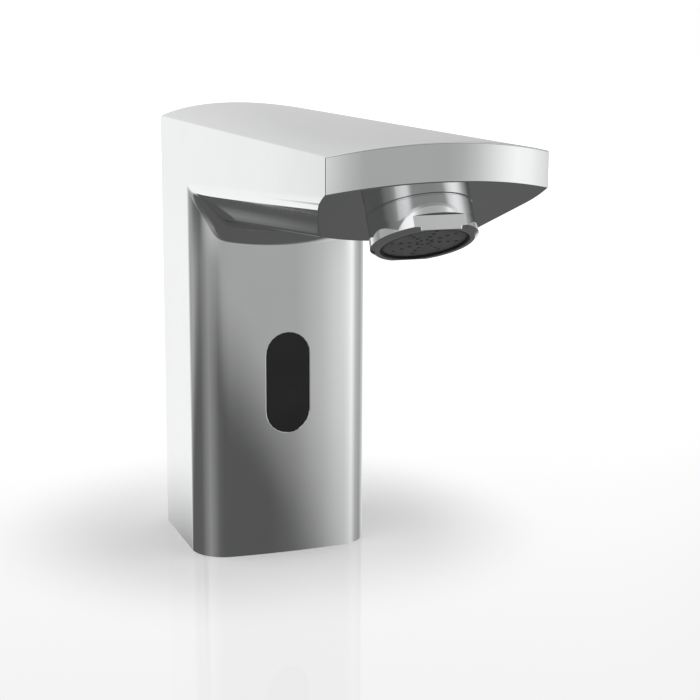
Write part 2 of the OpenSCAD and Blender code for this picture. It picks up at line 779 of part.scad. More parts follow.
// Chassis: two legs on the base plate and a shelf over the coil
leg_share = 0.13;
leg_w = column_d * leg_share;
shelf_z = tube_top + tube_wall + sheet_t;
shelf_inset = 6;
shelf_front = front_y + column_wall + shelf_inset;
foot_edge = 3.5;
foot_in = foot_screw_x - foot_edge;
module chassis() {
    shelf_back = leg_w / 2;
    color("lightgray") difference() {
        union() {
            for (s = [-1, 1]) scale([s, 1, 1]) {
                translate([leg_x, -leg_w / 2, plate_t]) cube([sheet_t, leg_w, shelf_z - plate_t]);
                translate([foot_in, -leg_w / 2, plate_t])
                    cube([leg_x + sheet_t - foot_in, leg_w, sheet_t]);
            }
            translate([-leg_x - sheet_t, shelf_front, shelf_z])
                cube([2 * (leg_x + sheet_t), shelf_back - shelf_front, sheet_t]);
        }
        for (x = [-foot_screw_x, foot_screw_x]) translate([x, 0, plate_t - overrun])
            cylinder(d = foot_screw_d + 2 * fit_gap, h = sheet_t + 2 * overrun);
        for (x = [-case_screw_x, case_screw_x]) translate([x, case_y, shelf_z - overrun])
            cylinder(d = foot_screw_d + 2 * fit_gap, h = sheet_t + 2 * overrun);
        translate([battery_lead_x, battery_lead_y, shelf_z - overrun])
            cylinder(r = lead_r + 2 * fit_gap, h = sheet_t + 2 * overrun);
    }
}

foot_head_d = 5.5;
foot_head_h = 2;
module chassis_screws() {
    color("gainsboro") for (x = [-foot_screw_x, foot_screw_x])
        translate([x, 0, plate_t + sheet_t + foot_head_h]) rotate([180, 0, 0])
            screw(foot_screw_d, foot_screw_l + foot_head_h, foot_head_d, foot_head_h, foot_screw_d / 2);
}

// Battery case on the shelf; the battery is as high as the room under the pipe
pipe_depth = 15.3;
outlet_pipe_z = top_z - pipe_depth;
case_low = shelf_z + sheet_t;
cap_t = 1.6;
cap_gap = 1.9;
case_y = shelf_front + battery_d / 2 + case_wall + fit_gap;
case_screw_x = 12;
case_screw_l = 5;
case_floor = 3 * case_wall;
contact_t = 0.5;
contact_w = 6;
module case_box(grow, low, high) {
    translate([-battery_w / 2 - grow, case_y - battery_d / 2 - grow, low])
        cube([battery_w + 2 * grow, battery_d + 2 * grow, high - low]);
}
battery_low = case_low + case_floor + contact_t;
battery_h = outlet_pipe_z - pipe_r - cap_gap - cap_t - battery_low;
case_top = battery_low + battery_h - battery_h / 3;

module battery_case() {
    color("dimgray") difference() {
        case_box(fit_gap + case_wall, case_low, case_top);
        case_box(fit_gap, case_low + case_floor, case_top + overrun);
        for (x = [-case_screw_x, case_screw_x]) translate([x, case_y, case_low - overrun])
            cylinder(d = foot_screw_d + 2 * run_gap, h = case_screw_l + overrun - sheet_t);
        translate([battery_lead_x, battery_lead_y, case_low - overrun])
            cylinder(r = lead_r + 2 * fit_gap, h = case_floor + 2 * overrun);
    }
}

module case_screws() {
    color("gainsboro") for (x = [-case_screw_x, case_screw_x])
        translate([x, case_y, shelf_z - valve_head_h])
            screw(foot_screw_d, valve_head_h + case_screw_l - fit_gap,
                foot_head_d, valve_head_h, foot_screw_d / 2);
}

module battery_cap() {
    color("dimgray") difference() {
        case_box(fit_gap + case_wall, case_top, battery_low + battery_h + cap_t);
        case_box(fit_gap, case_top - overrun, battery_low + battery_h);
    }
}

cell_gap_share = 0.06;
module battery() {
    cell_r = battery_d / 2;
    color("royalblue") translate([0, case_y, battery_low]) linear_extrude(battery_h) difference() {
        union() {
            square([battery_w - battery_d, battery_d], center = true);
            for (s = [-1, 1]) translate([s * (battery_w - battery_d) / 2, 0]) circle(r = cell_r);
        }
        for (s = [-1, 1]) translate([0, s * cell_r])
            rotate(45) square(battery_w * cell_gap_share, center = true);
    }
}

module battery_contacts() {
    color("gold") for (x = [-1, 1])
        translate([x * battery_w / 4, case_y, case_low + case_floor + contact_t / 2])
            cube([contact_w, contact_w, contact_t], center = true);
}

// Outlet pipe: up the column, round a bend and along the spout
pipe_plug = 8;
port_l = 23;
port_y = outlet_y + port_l;
port_t = 2.4;
port_r = pipe_r + port_t;
pipe_end_y = port_y - pipe_plug;
module outlet_pipe() {
    color("peru") difference() {
        pipe_run(pipe_r, 0);
        pipe_run(pipe_bore / 2, overrun);
    }
}
module pipe_run(r, more) {
    bend_z = outlet_pipe_z - pipe_bend;
    bend_y = pipe_y - pipe_bend;
    translate([0, pipe_y, pipe_low - more]) cylinder(r = r, h = bend_z - pipe_low + more);
    translate([0, bend_y, bend_z]) rotate([90, 0, 90]) rotate_extrude(angle = 90)
        translate([pipe_bend, 0]) circle(r = r);
    translate([0, bend_y, outlet_pipe_z]) rotate([90, 0, 0])
        cylinder(r = r, h = bend_y - pipe_end_y + more);
}

module pipe_o_rings() {
    color("dimgray") {
        translate([0, pipe_y, 0])
            o_ring(pipe_r + o_section + run_gap / 2, o_section - run_gap / 2, block_top - socket_l / 2);
        translate([0, port_y - pipe_plug / 2, outlet_pipe_z]) rotate([90, 0, 0])
            o_ring(pipe_r + o_section + run_gap / 2, o_section - run_gap / 2, 0);
    }
}

// Outlet fittings, in the outlet's frame
thread_r = thread_d / 2;
adapter_r = 13.4;
adapter_low = spout_wall;
seal_t = 1.4;
adapter_seat = thread_l + seal_t;
adapter_chamber_h = 2.4;
adapter_roof = 1.2;
adapter_top = adapter_seat + adapter_chamber_h + adapter_roof;
adapter_chamber_r = 9;
module spout_adapter() {
    color("goldenrod") difference() {
        union() {
            at_outlet() translate([0, 0, adapter_low])
                cylinder(r = adapter_r, h = adapter_top - adapter_low);
            intersection() {
                translate([0, port_y, outlet_pipe_z]) rotate([90, 0, 0])
                    cylinder(r = port_r, h = port_y - outlet_y);
                at_outlet() translate([-adapter_r, 0, adapter_low])
                    cube([2 * adapter_r, reach, reach]);
            }
        }
        at_outlet() {
            cylinder(r = thread_r + run_gap, h = adapter_seat);
            cylinder(r = adapter_chamber_r, h = adapter_seat + adapter_chamber_h);
        }
        translate([0, port_y + overrun, outlet_pipe_z]) rotate([90, 0, 0]) {
            cylinder(r = pipe_r + run_gap, h = pipe_plug + overrun);
            cylinder(d = pipe_bore, h = port_y - outlet_y - adapter_chamber_r / 2);
        }
        translate([0, port_y - pipe_plug / 2 + 1.2 * o_section, outlet_pipe_z]) rotate([90, 0, 0])
            cylinder(r = pipe_r + 2 * o_section, h = 2.4 * o_section);
    }
}

housing_r = housing_d / 2;
lip_w = 1.7;
lip_h = 1.8;
ring_t = 0.5;
housing_bore = spray_d / 2 + ring_t + fit_gap;
housing_shoulder = 1.6;
spray_t = 1.6;
spray_inset = 0.7;
// Low collar with a rounded rise over each flat and four smaller ones between
collar_low_out = 0.4;
collar_top_out = 0.1;
collar_h = 2.6;
rise_h = 6.2;
rise_r = 16;
side_rise_h = 3.9;
side_rise_r = 9;
module rise(turn, h, r) {
    rotate(turn) intersection() {
        translate([0, -housing_d / 2, h - r - housing_h]) rotate([90, 0, 0])
            cylinder(r = r, h = housing_d, center = true);
        translate([0, -housing_d / 2, -housing_h + housing_h / 2])
            cube([housing_d, housing_d, housing_h], center = true);
    }
}
module aerator_housing() {
    color("silver") at_outlet() difference() {
        union() {
            rotate_extrude() polygon([
                [0, 0], [housing_r, 0], [housing_r, -housing_h + lip_h],
                [housing_r + collar_low_out - lip_w, -housing_h], [0, -housing_h]]);
            cylinder(r = thread_r, h = thread_l);
            intersection() {
                rotate_extrude() polygon([
                    [0, -housing_h + rise_h + collar_top_out],
                    [housing_r + collar_top_out, -housing_h + rise_h + collar_top_out],
                    [housing_r + collar_low_out, -housing_h + lip_h],
                    [housing_r + collar_low_out - lip_w, -housing_h], [0, -housing_h]]);
                union() {
                    translate([0, 0, -housing_h]) cylinder(r = housing_d, h = collar_h);
                    for (a = [0, 180]) rise(a, rise_h, rise_r);
                    for (a = [60, 120, 240, 300]) rise(a, side_rise_h, side_rise_r);
                }
            }
        }
        translate([0, 0, -housing_h - overrun])
            cylinder(r = housing_bore, h = housing_h + overrun - housing_shoulder);
        translate([0, 0, -housing_h])
            cylinder(r = adapter_chamber_r + fit_gap, h = housing_h + thread_l + overrun);
        // Spanner flat in front and one behind
        for (a = [0, 180]) rotate(a)
            translate([-housing_d / 2, -flats_w / 2 - housing_d, -housing_h - overrun])
                cube([housing_d, housing_d, flats_h + overrun]);
    }
}

module aerator_seal() {
    color("dimgray") at_outlet()
        ring(thread_r - fit_gap, adapter_chamber_r + fit_gap, thread_l, adapter_seat);
}

spray_low = -housing_h + spray_inset;
regulator_low = spray_low + spray_t;
screen_t = 0.8;
screen_low = -housing_shoulder - screen_t;
module spray_ring() {
    color("black") at_outlet() ring(housing_bore - fit_gap / 2, spray_d / 2 + fit_gap / 2,
        -housing_h + run_gap, regulator_low);
}

spray_first_share = 0.18;
spray_last_share = 0.8;
module spray_holes(d, low, high) {
    for (i = [0 : spray_rows - 1], j = [0 : spray_row_holes - 1]) rotate(360 * i / spray_rows)
        translate([spray_d / 2 * (spray_first_share
            + (spray_last_share - spray_first_share) * j / (spray_row_holes - 1)), 0, low])
            cylinder(d = d, h = high - low);
}
module spray_face() {
    color("darkslategray") at_outlet() difference() {
        translate([0, 0, spray_low]) cylinder(d = spray_d, h = spray_t);
        spray_holes(spray_hole_d, spray_low - overrun, regulator_low + overrun);
    }
}

regulator_holes = 12;
module flow_regulator() {
    color("yellowgreen") at_outlet() difference() {
        translate([0, 0, regulator_low])
            cylinder(r = housing_bore - fit_gap, h = screen_low - regulator_low);
        translate([0, 0, regulator_low - overrun])
            cylinder(r = spray_d / 2 - 2 * ring_t, h = overrun + screen_t);
        for (i = [0 : regulator_holes - 1]) rotate(360 * i / regulator_holes)
            translate([adapter_chamber_r - 2 * screen_t, 0, regulator_low])
                cylinder(r = screen_t, h = screen_low - regulator_low + overrun);
    }
}

screen_holes = 12;
module aerator_screen() {
    color("lightgray") at_outlet() difference() {
        translate([0, 0, screen_low]) cylinder(r = housing_bore - fit_gap, h = screen_t);
        for (row = [1 : 3], i = [0 : screen_holes - 1]) rotate(360 * (i + row / 2) / screen_holes)
            translate([adapter_chamber_r * row / 4, 0, screen_low - overrun])
                cylinder(r = screen_t * (1 + row) / 8, h = screen_t + 2 * overrun);
    }
}

module sensor_window() {
    color("black") {
        slot(window_w, window_h, gasket_y + flange_t / 2, gasket_y + flange_t / 2 - front_y - window_inset);
        slot(rim_w, rim_h, flange_y, flange_t);
    }
}

module window_gasket() {
    color("dimgray") difference() {
        slot(rim_w, rim_h, gasket_y, gasket_t);
        slot(window_w + 2 * fit_gap, window_h + 2 * fit_gap, gasket_y + overrun, gasket_t + 2 * overrun);
    }
}

// Behind the window: a cup with a wall between the emitter and the receiver
board_t = 1.2;
board_y = sensor_back_y - sensor_wall - board_t;
led_r = 2.5;
module sensor_housing() {
    color("dimgray") difference() {
        slot(rim_w, rim_h, sensor_back_y, sensor_d);
        difference() {
            slot(rim_w - 2 * sensor_wall, rim_h - 2 * sensor_wall, sensor_back_y - sensor_wall, sensor_d);
            translate([0, flange_y + (board_y - flange_y) / 2, window_z])
                cube([rim_w, board_y - flange_y, sensor_wall], center = true);
        }
        // Way out for the leads
        translate([0, sensor_back_y + overrun, window_z + rim_h / 2 - rim_w / 2])
            rotate([90, 0, 0]) cylinder(r = 2 * lead_r + 2 * fit_gap, h = sensor_wall + 2 * overrun);
    }
}

board_gap = 0.2;
module sensor_board() {
    color("seagreen") difference() {
        slot(rim_w - 2 * sensor_wall - 2 * board_gap, rim_h - 2 * sensor_wall - 2 * board_gap,
            board_y + board_t, board_t);
        translate([0, board_y + board_t + overrun, window_z + rim_h / 2 - rim_w / 2])
            rotate([90, 0, 0]) cylinder(r = 2 * lead_r + 2 * fit_gap, h = board_t + 2 * overrun);
    }
}

led_l = board_y - flange_y - 2 * board_gap;
module ir_emitter() {
    color("lightblue") translate([0, board_y, window_z - sensor_pitch]) rotate([90, 0, 0]) {
        cylinder(r = led_r, h = led_l - led_r);
        translate([0, 0, led_l - led_r]) sphere(r = led_r);
    }
}

receiver_w = 6;
receiver_t = 3;
module ir_receiver() {
    color("black") translate([0, board_y, window_z + sensor_pitch - receiver_w / 2]) rotate([90, 0, 0]) {
        translate([-receiver_w / 2, -receiver_w / 2, 0]) cube([receiver_w, receiver_w, receiver_t]);
        translate([0, 0, receiver_t]) sphere(r = receiver_w / 3);
    }
}

chip_w = 3.8;
chip_l = 4.4;
chip_t = 1.2;
module board_chips() {
    chip_z = window_z - sensor_wall / 2 - chip_w / 2 - board_gap;
    color("black") for (s = [-1, 1])
        translate([s * (chip_w + sensor_wall) / 2, board_y - chip_t / 2, chip_z])
            cube([chip_w, chip_t, chip_w], center = true);
}

strap_t = 1.2;
strap_h = 10;
strap_end = boss_x + boss_r + overrun;
module sensor_bracket() {
    color("lightgray") difference() {
        translate([-strap_end, sensor_back_y, window_z - strap_h / 2])
            cube([2 * strap_end, strap_t, strap_h]);
        for (x = [-boss_x, boss_x]) translate([x, sensor_back_y + strap_t + overrun, window_z])
            rotate([90, 0, 0]) cylinder(d = bracket_screw_d + 2 * fit_gap, h = strap_t + 2 * overrun);
    }
}

bracket_screw_l = 8;
module bracket_screws() {
    color("gainsboro") for (x = [-boss_x, boss_x])
        translate([x, sensor_back_y + strap_t + foot_head_h / 2, window_z]) rotate([90, 0, 0])
            screw(bracket_screw_d, bracket_screw_l,
                foot_head_d - overrun, foot_head_h / 2, bracket_screw_d / 2);
}

// Leads to the sensor's board, each a round cable along a few chosen points
lead_r = 0.8;
lead_sides = 8;
lead_entry = [0, board_y + board_t, window_z + rim_h / 2 - rim_w / 2];
lead_clear = 1.5;
battery_lead_x = -6;
battery_lead_y = sensor_back_y + lead_clear;
coil_lead_x = 7;
// Corner points rounded into short runs
function rounded(p, a, b, cut) = [for (q = [0 : 3]) let (s = q / 3,
    from = p + unit(a - p) * cut, to = p + unit(b - p) * cut)
    (1 - s) * (1 - s) * from + 2 * s * (1 - s) * p + s * s * to];
function lead_path(points, cut) = concat([points[0]],
    [for (i = [1 : len(points) - 2], q = rounded(points[i], points[i - 1], points[i + 1], cut)) q],
    [points[len(points) - 1]]);

module battery_lead() {
    top = [battery_lead_x, battery_lead_y, case_low + case_floor];
    turn = [battery_lead_x, battery_lead_y, lead_entry[2] + 3 * lead_r];
    in_x = lead_entry[0] - lead_r - fit_gap;
    behind = sensor_back_y + 1.5 * lead_r;
    color("firebrick") sweep(lead_path([top, [top[0], top[1], lead_entry[2] + 8 * lead_r],
        [in_x, behind, lead_entry[2]], [in_x, lead_entry[1] + fit_gap, lead_entry[2]]], 2 * lead_r),
        lead_r, lead_sides, [1, 0, 0]);
}

module coil_lead() {
    start = [coil_lead_x, overrun - coil_d / 2, coil_top - 2 * bobbin_t];
    in_x = lead_entry[0] + lead_r + fit_gap;
    behind = sensor_back_y + 1.5 * lead_r;
    color("navy") sweep(lead_path([start, [start[0], behind + lead_r, start[2]],
        [in_x, behind, lead_entry[2]], [in_x, lead_entry[1] + fit_gap, lead_entry[2]]], lead_r),
        lead_r, lead_sides, [1, 0, 0]);
}

body();
base_plate();
deck_seal();
base_screws();
inlet_fitting();
inlet_filter();
check_valve_seat();
check_valve_poppet();
check_valve_spring();
check_valve_guide();
inlet_o_ring();
valve_block();
diaphragm();
diaphragm_plate();
valve_bonnet();
bonnet_screws();
armature_tube();
fixed_core();
plunger();
plunger_spring();
coil_bobbin();
coil_winding();
coil_yoke();
coil_nut();
outlet_pipe();
pipe_o_rings();
spout_adapter();
aerator_housing();
aerator_seal();
aerator_screen();
flow_regulator();
spray_ring();
spray_face();
sensor_window();
window_gasket();
sensor_housing();
sensor_board();
ir_emitter();
ir_receiver();
board_chips();
sensor_bracket();
bracket_screws();
chassis();
chassis_screws();
battery_case();
battery_cap();
battery();
battery_contacts();
case_screws();
battery_lead();
coil_lead();
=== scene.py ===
import math

import bpy
import numpy as np
from mathutils import Matrix, Vector


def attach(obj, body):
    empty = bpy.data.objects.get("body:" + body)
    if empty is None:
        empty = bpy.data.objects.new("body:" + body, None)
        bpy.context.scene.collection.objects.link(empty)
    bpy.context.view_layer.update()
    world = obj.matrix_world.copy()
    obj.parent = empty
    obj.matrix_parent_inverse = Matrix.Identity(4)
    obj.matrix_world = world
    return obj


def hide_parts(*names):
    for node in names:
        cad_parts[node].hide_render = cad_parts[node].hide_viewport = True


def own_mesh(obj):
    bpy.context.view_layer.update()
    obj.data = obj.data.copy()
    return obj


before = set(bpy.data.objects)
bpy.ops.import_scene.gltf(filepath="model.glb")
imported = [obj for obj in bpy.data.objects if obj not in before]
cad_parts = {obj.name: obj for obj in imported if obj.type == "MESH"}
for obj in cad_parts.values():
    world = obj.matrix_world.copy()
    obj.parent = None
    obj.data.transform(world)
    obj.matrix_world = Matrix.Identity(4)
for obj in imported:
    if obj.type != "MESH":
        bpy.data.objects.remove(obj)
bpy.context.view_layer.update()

# Chromed body
# One casting: a column with flat sides, a bulging back and rounded front corners, and a
# square-edged spout with bevelled lower edges. Its edges are broken by a small radius,
# except at the foot and round the outlet's hole, and a fillet leads from the column's
# front into the spout.
MM = 0.001
half, side_top, crown_rise = 30.0, 142.9, 3.4
back_at, front_at, nose_at = 31.0, -31.0, -159.3
back_bow, front_bow, nose_bow = 15.5, 2.0, 6.3
corner_r, nose_drop, nose_tilt = 11.6, 9.5, math.radians(26.5)
belly_z, belly_rise, belly_bow = 110.5, math.radians(4.2), 2.3
bevel_w, bevel_h, bevel_r, keel_r = 7.6, 9.4, 6.0, 3.0
throat_r, edge_r = 7.6, 0.45


def bow_radius(rise):
    """Radius of a bow across the body's full width."""
    return (half * half + rise * rise) / (2 * rise)


crown_r, back_r, front_r, nose_r = map(bow_radius, (crown_rise, back_bow, front_bow, nose_bow))
crown_c = side_top + crown_rise - crown_r
back_c, front_c, nose_c = back_at - back_r, front_at + front_r, nose_at + nose_r
corner_x = half - corner_r
corner_y = front_c - math.sqrt((front_r - corner_r) ** 2 - corner_x**2)
corner_turn = math.atan2(corner_y - front_c, corner_x)
nose_y, nose_z = nose_at + nose_bow, side_top - nose_drop
slant = np.array([0.0, -math.sin(nose_tilt), -math.cos(nose_tilt)])
spout_up = np.array([0.0, math.sin(belly_rise), math.cos(belly_rise)])
spout_out = np.array([0.0, -math.cos(belly_rise), math.sin(belly_rise)])
across, down = np.eye(3)[0], -np.eye(3)[2]
ground = np.array([1.0, 1.0, 0.0])


def unit(v):
    return v / np.linalg.norm(v)


def turn(first, second, share):
    """A direction on the way from one unit vector to another."""
    angle = math.acos(max(-1.0, min(1.0, float(first @ second))))
    if angle < 1e-6:
        return first
    return (math.sin((1 - share) * angle) * first + math.sin(share * angle) * second) / math.sin(angle)


class Skin:
    """Collects faces of corners with their own normals, and mirrors them across the middle."""

    def __init__(self):
        self.faces = []

    def face(self, points, normals):
        """One face, turned to look the way its normals do. Corners that coincide are dropped."""
        kept = [(p, n) for k, (p, n) in enumerate(zip(points, normals))
                if np.linalg.norm(p - points[k - 1]) > 1e-5]
        if len(kept) < 3:
            return
        ring = np.array([p for p, n in kept])
        winding = sum(np.cross(ring[k - 1] - ring[0], ring[k] - ring[0]) for k in range(len(ring)))
        if winding @ sum(n for p, n in kept) < 0:
            kept.reverse()
        self.faces.append(kept)

    def sheet(self, points, normals):
        """Four-cornered faces between rows of points."""
        for i in range(len(points) - 1):
            for j in range(len(points[i]) - 1):
                at = ((i, j), (i + 1, j), (i + 1, j + 1), (i, j + 1))
                self.face([points[a][b] for a, b in at], [normals[a][b] for a, b in at])

    def edge(self, centres, firsts, seconds, radius=edge_r, steps=4):
        """A rounded edge: arcs about a row of centres between two rows of normals."""
        turned = [[turn(a, b, k / steps) for k in range(steps + 1)] for a, b in zip(firsts, seconds)]
        self.sheet([[c + radius * n for n in row] for c, row in zip(centres, turned)], turned)

    def corner(self, centre, first, second, third, steps=4):
        """A ball's patch where three rounded edges meet."""
        rows = [[turn(turn(first, second, i / steps), turn(first, third, i / steps), j / max(i, 1))
                 for j in range(i + 1)] for i in range(steps + 1)]
        for i in range(steps):
            for j in range(i + 1):
                for trio in ((rows[i][j], rows[i + 1][j], rows[i + 1][j + 1]),
                             (rows[i][j], rows[i + 1][j + 1], rows[i][min(j + 1, i)])):
                    self.face([centre + edge_r * n for n in trio], list(trio))

    def build(self, name, mirror=True):
        """The mesh object, in metres, with corners that coincide joined."""
        flip = np.array([-1.0, 1.0, 1.0])
        faces = list(self.faces)
        if mirror:
            faces += [[(p * flip, n * flip) for p, n in reversed(face)] for face in self.faces]
        found, places, rings, normals = {}, [], [], []
        for face in faces:
            ring = []
            for p, n in face:
                key = tuple(np.round(p, 4) + 0.0)
                if key not in found:
                    found[key] = len(places)
                    places.append(p * MM)
                ring.append(found[key])
            if len(set(ring)) < len(ring):
                continue
            rings.append(ring)
            normals += [tuple(unit(n)) for p, n in face]
        mesh = bpy.data.meshes.new(name)
        mesh.from_pydata([tuple(p) for p in places], [], rings)
        mesh.polygons.foreach_set("use_smooth", [True] * len(rings))
        mesh.normals_split_custom_set(normals)
        mesh.validate(clean_customdata=False)
        made = bpy.data.objects.new(name, mesh)
        bpy.context.scene.collection.objects.link(made)
        return made


def crown_z(x, inset):
    return crown_c + math.sqrt((crown_r - inset) ** 2 - x * x)


def back_y(x, inset):
    return back_c + math.sqrt((back_r - inset) ** 2 - x * x)


def front_y(x, inset):
    return nose_c - math.sqrt((nose_r - inset) ** 2 - x * x)


def slant_z(y, inset):
    return nose_z - math.tan(nose_tilt) * (y - nose_y) + inset / math.cos(nose_tilt)


def belly_section(steps, keel_steps=6, crowding=1.6):
    """Points and normals across the spout's underside, from its side to its middle."""
    lean = math.atan2(bevel_w, bevel_h)
    belly_x = half - bevel_w
    belly_r = (belly_x**2 + belly_bow**2) / (2 * belly_bow)
    bow_c = np.array([0, belly_r])
    top = belly_bow + bevel_h + bevel_r * math.tan(lean / 2)
    rows = []
    for k in range(steps + 1):
        a = lean * (k / steps) ** crowding
        rows.append((half - bevel_r + bevel_r * math.cos(a), top - bevel_r * math.sin(a), a))
    facing = np.array([math.cos(lean), -math.sin(lean)])
    along = np.array([math.sin(lean), math.cos(lean)])
    base = np.array([belly_x, belly_bow]) - keel_r * facing - bow_c
    shift = base @ along
    reach = belly_r - keel_r
    keel = base + along * (-shift - math.sqrt(shift * shift - base @ base + reach * reach)) + bow_c
    bow_end = -math.atan2(keel[1] - belly_r, keel[0])
    bevel_end = keel + keel_r * facing
    for k in range(1, steps):
        p = np.array(rows[steps][:2]) * (1 - k / steps) + bevel_end * k / steps
        rows.append((p[0], p[1], lean))
    for k in range(keel_steps + 1):
        a = lean + (bow_end - lean) * k / keel_steps
        rows.append((keel[0] + keel_r * math.cos(a), keel[1] - keel_r * math.sin(a), a))
    for k in range(1, steps + 1):
        a = bow_end + (math.pi / 2 - bow_end) * k / steps
        rows.append((belly_r * math.cos(a), belly_r - belly_r * math.sin(a), a))
    return [(np.array([x, 0, 0]) + z * spout_up,
             np.array([math.cos(a), 0, 0]) - math.sin(a) * spout_up) for x, z, a in rows]


heel = np.array([0, front_at, belly_z])
section = belly_section(12)
throat_centres, to_column, to_spout = [], [], []
for point, normal in section:
    ball = point + throat_r * normal
    on_bow = ball[0] <= (front_r + throat_r) * math.cos(corner_turn)
    cx, cy = (0.0, front_c) if on_bow else (corner_x, corner_y)
    far = (front_r if on_bow else corner_r) + throat_r
    y = cy - math.sqrt(max(0.0, far * far - (ball[0] - cx) ** 2))
    ball = heel + ball
    ball = ball + spout_out * (ball[1] - y) / math.cos(belly_rise)
    throat_centres.append(ball)
    to_column.append(unit(np.array([cx - ball[0], cy - ball[1], 0])))
    to_spout.append(-normal)

body = Skin()
body.edge(throat_centres, [-m for m in to_column], [-m for m in to_spout], radius=-throat_r, steps=10)

# The underside, its bevels, and their edge against the slanted face
inner = [heel + point - edge_r * normal for point, normal in section]
slant_at = np.array([0, nose_y, nose_z]) - edge_r * slant
keel_ends = [p + spout_out * (((slant_at - p) @ slant) / (spout_out @ slant)) for p in inner]
keel_normals = [normal for point, normal in section]
body.sheet([[c + throat_r * m, e + edge_r * n]
            for c, m, e, n in zip(throat_centres, to_spout, keel_ends, keel_normals)],
           [[n, n] for n in keel_normals])
body.edge(keel_ends, keel_normals, [slant] * len(keel_ends))

# Column front with its rounded corner, and the window's opening in it
columns = sorted(zip([c + throat_r * m for c, m in zip(throat_centres, to_column)],
                     [-m for m in to_column]), key=lambda pair: pair[0][0])
slot_r, slot_half, window_z, lip_r = 7.4, 16.75, 58.15, 0.3
slot_floor, slot_steps = -27.2, 12
panel_low, panel_high, panel_side, panel_shares = 34.0, 83.0, 5.5, (0, 0.2, 0.5, 1)
inside = [k for k, (p, n) in enumerate(columns) if p[0] < slot_r + panel_side]
gate = inside[-1]


def on_front(x, z):
    return np.array([x, front_c - math.sqrt(front_r**2 - x * x), z])


def front_normal(x):
    return np.array([x / front_r, -math.sqrt(1 - (x / front_r) ** 2), 0])


for k in range(len(columns) - 1):
    (p, n), (q, m) = columns[k], columns[k + 1]
    spans = [(0, panel_low), (panel_low, panel_high), (panel_high, None)]
    if k < gate:
        spans.pop(1)
    for bottom, top in spans:
        ends = [np.array([*p[:2], bottom]), np.array([*q[:2], bottom]),
                np.array([*q[:2], q[2] if top is None else top]),
                np.array([*p[:2], p[2] if top is None else top])]
        body.face(ends, [n, m, m, n])
gate_x = columns[gate][0][0]
panel_ring = [(columns[k][0][0], panel_high) for k in inside]
panel_ring += [(gate_x, panel_high + (panel_low - panel_high) * k / slot_steps)
               for k in range(1, slot_steps)]
panel_ring += [(columns[k][0][0], panel_low) for k in reversed(inside)]
tips = len(inside)
slot_turns = [math.pi / 2 * (1 - k / (tips - 1)) for k in range(tips)]
slot_way = [(math.cos(a), math.sin(a), slot_half - slot_r) for a in slot_turns]
slot_way += [(1.0, 0.0, (slot_half - slot_r) * (1 - 2 * k / slot_steps)) for k in range(1, slot_steps)]
slot_way += [(math.cos(a), -math.sin(a), slot_r - slot_half) for a in reversed(slot_turns)]
rims = [((slot_r + lip_r) * x, window_z + (slot_r + lip_r) * z + shift) for x, z, shift in slot_way]
rows = [[(a[0] * (1 - t) + b[0] * t, a[1] * (1 - t) + b[1] * t) for t in panel_shares]
        for a, b in zip(rims, panel_ring)]
body.sheet([[on_front(*q) for q in row] for row in rows],
           [[front_normal(q[0]) for q in row] for row in rows])
lip = [(on_front(*rim) - lip_r * front_normal(rim[0]), front_normal(rim[0]), np.array([-x, 0, -z]))
       for rim, (x, z, shift) in zip(rims, slot_way)]
body.edge([c for c, n, m in lip], [n for c, n, m in lip], [m for c, n, m in lip], radius=lip_r, steps=3)
body.sheet([[c + lip_r * m, (c + lip_r * m) * [1, 0, 1] + [0, slot_floor, 0]] for c, n, m in lip],
           [[m, m] for c, n, m in lip])

# Back, crown and front band, each a row of straight lines across a bow
bow_steps = 16
lines = [(half - edge_r) * k / bow_steps for k in range(bow_steps + 1)]
back_normals = [np.array([x, back_y(x, edge_r) - back_c, 0]) / (back_r - edge_r) for x in lines]
crown_normals = [np.array([x, 0, crown_z(x, edge_r) - crown_c]) / (crown_r - edge_r) for x in lines]
nose_normals = [np.array([x, front_y(x, edge_r) - nose_c, 0]) / (nose_r - edge_r) for x in lines]
rear_edge = [np.array([x, back_y(x, edge_r), crown_z(x, edge_r)]) for x in lines]
fore_edge = [np.array([x, front_y(x, edge_r), crown_z(x, edge_r)]) for x in lines]
lip_edge = [np.array([x, front_y(x, edge_r), slant_z(front_y(x, edge_r), edge_r)]) for x in lines]
rear_foot = [c * ground for c in rear_edge]
for starts, ends, normals in ((rear_foot, rear_edge, back_normals), (rear_edge, fore_edge, crown_normals),
                              (fore_edge, lip_edge, nose_normals)):
    body.sheet([[a + edge_r * n, b + edge_r * n] for a, b, n in zip(starts, ends, normals)],
               [[n, n] for n in normals])
body.edge(rear_edge, crown_normals, back_normals)
body.edge(fore_edge, crown_normals, nose_normals)
body.edge(lip_edge, nose_normals, [slant] * len(lines))

# Flat side, its edges and its three corners
rear, fore, lip_end = rear_edge[-1], fore_edge[-1], lip_edge[-1]
body.edge([rear * ground, rear], [across] * 2, [back_normals[-1]] * 2)
body.edge([rear, fore], [across] * 2, [crown_normals[-1]] * 2)
body.edge([lip_end, fore], [across] * 2, [nose_normals[-1]] * 2)
body.edge([lip_end, keel_ends[0]], [across] * 2, [slant] * 2)
body.corner(rear, crown_normals[-1], across, back_normals[-1])
body.corner(fore, crown_normals[-1], across, nose_normals[-1])
body.corner(lip_end, slant, across, nose_normals[-1])
foot_front = columns[-1][0]
side = [foot_front * ground]
side += [p + edge_r * across for p in (rear * ground, rear, fore, lip_end, keel_ends[0])]
side += [foot_front]
body.face(side, [across] * len(side))

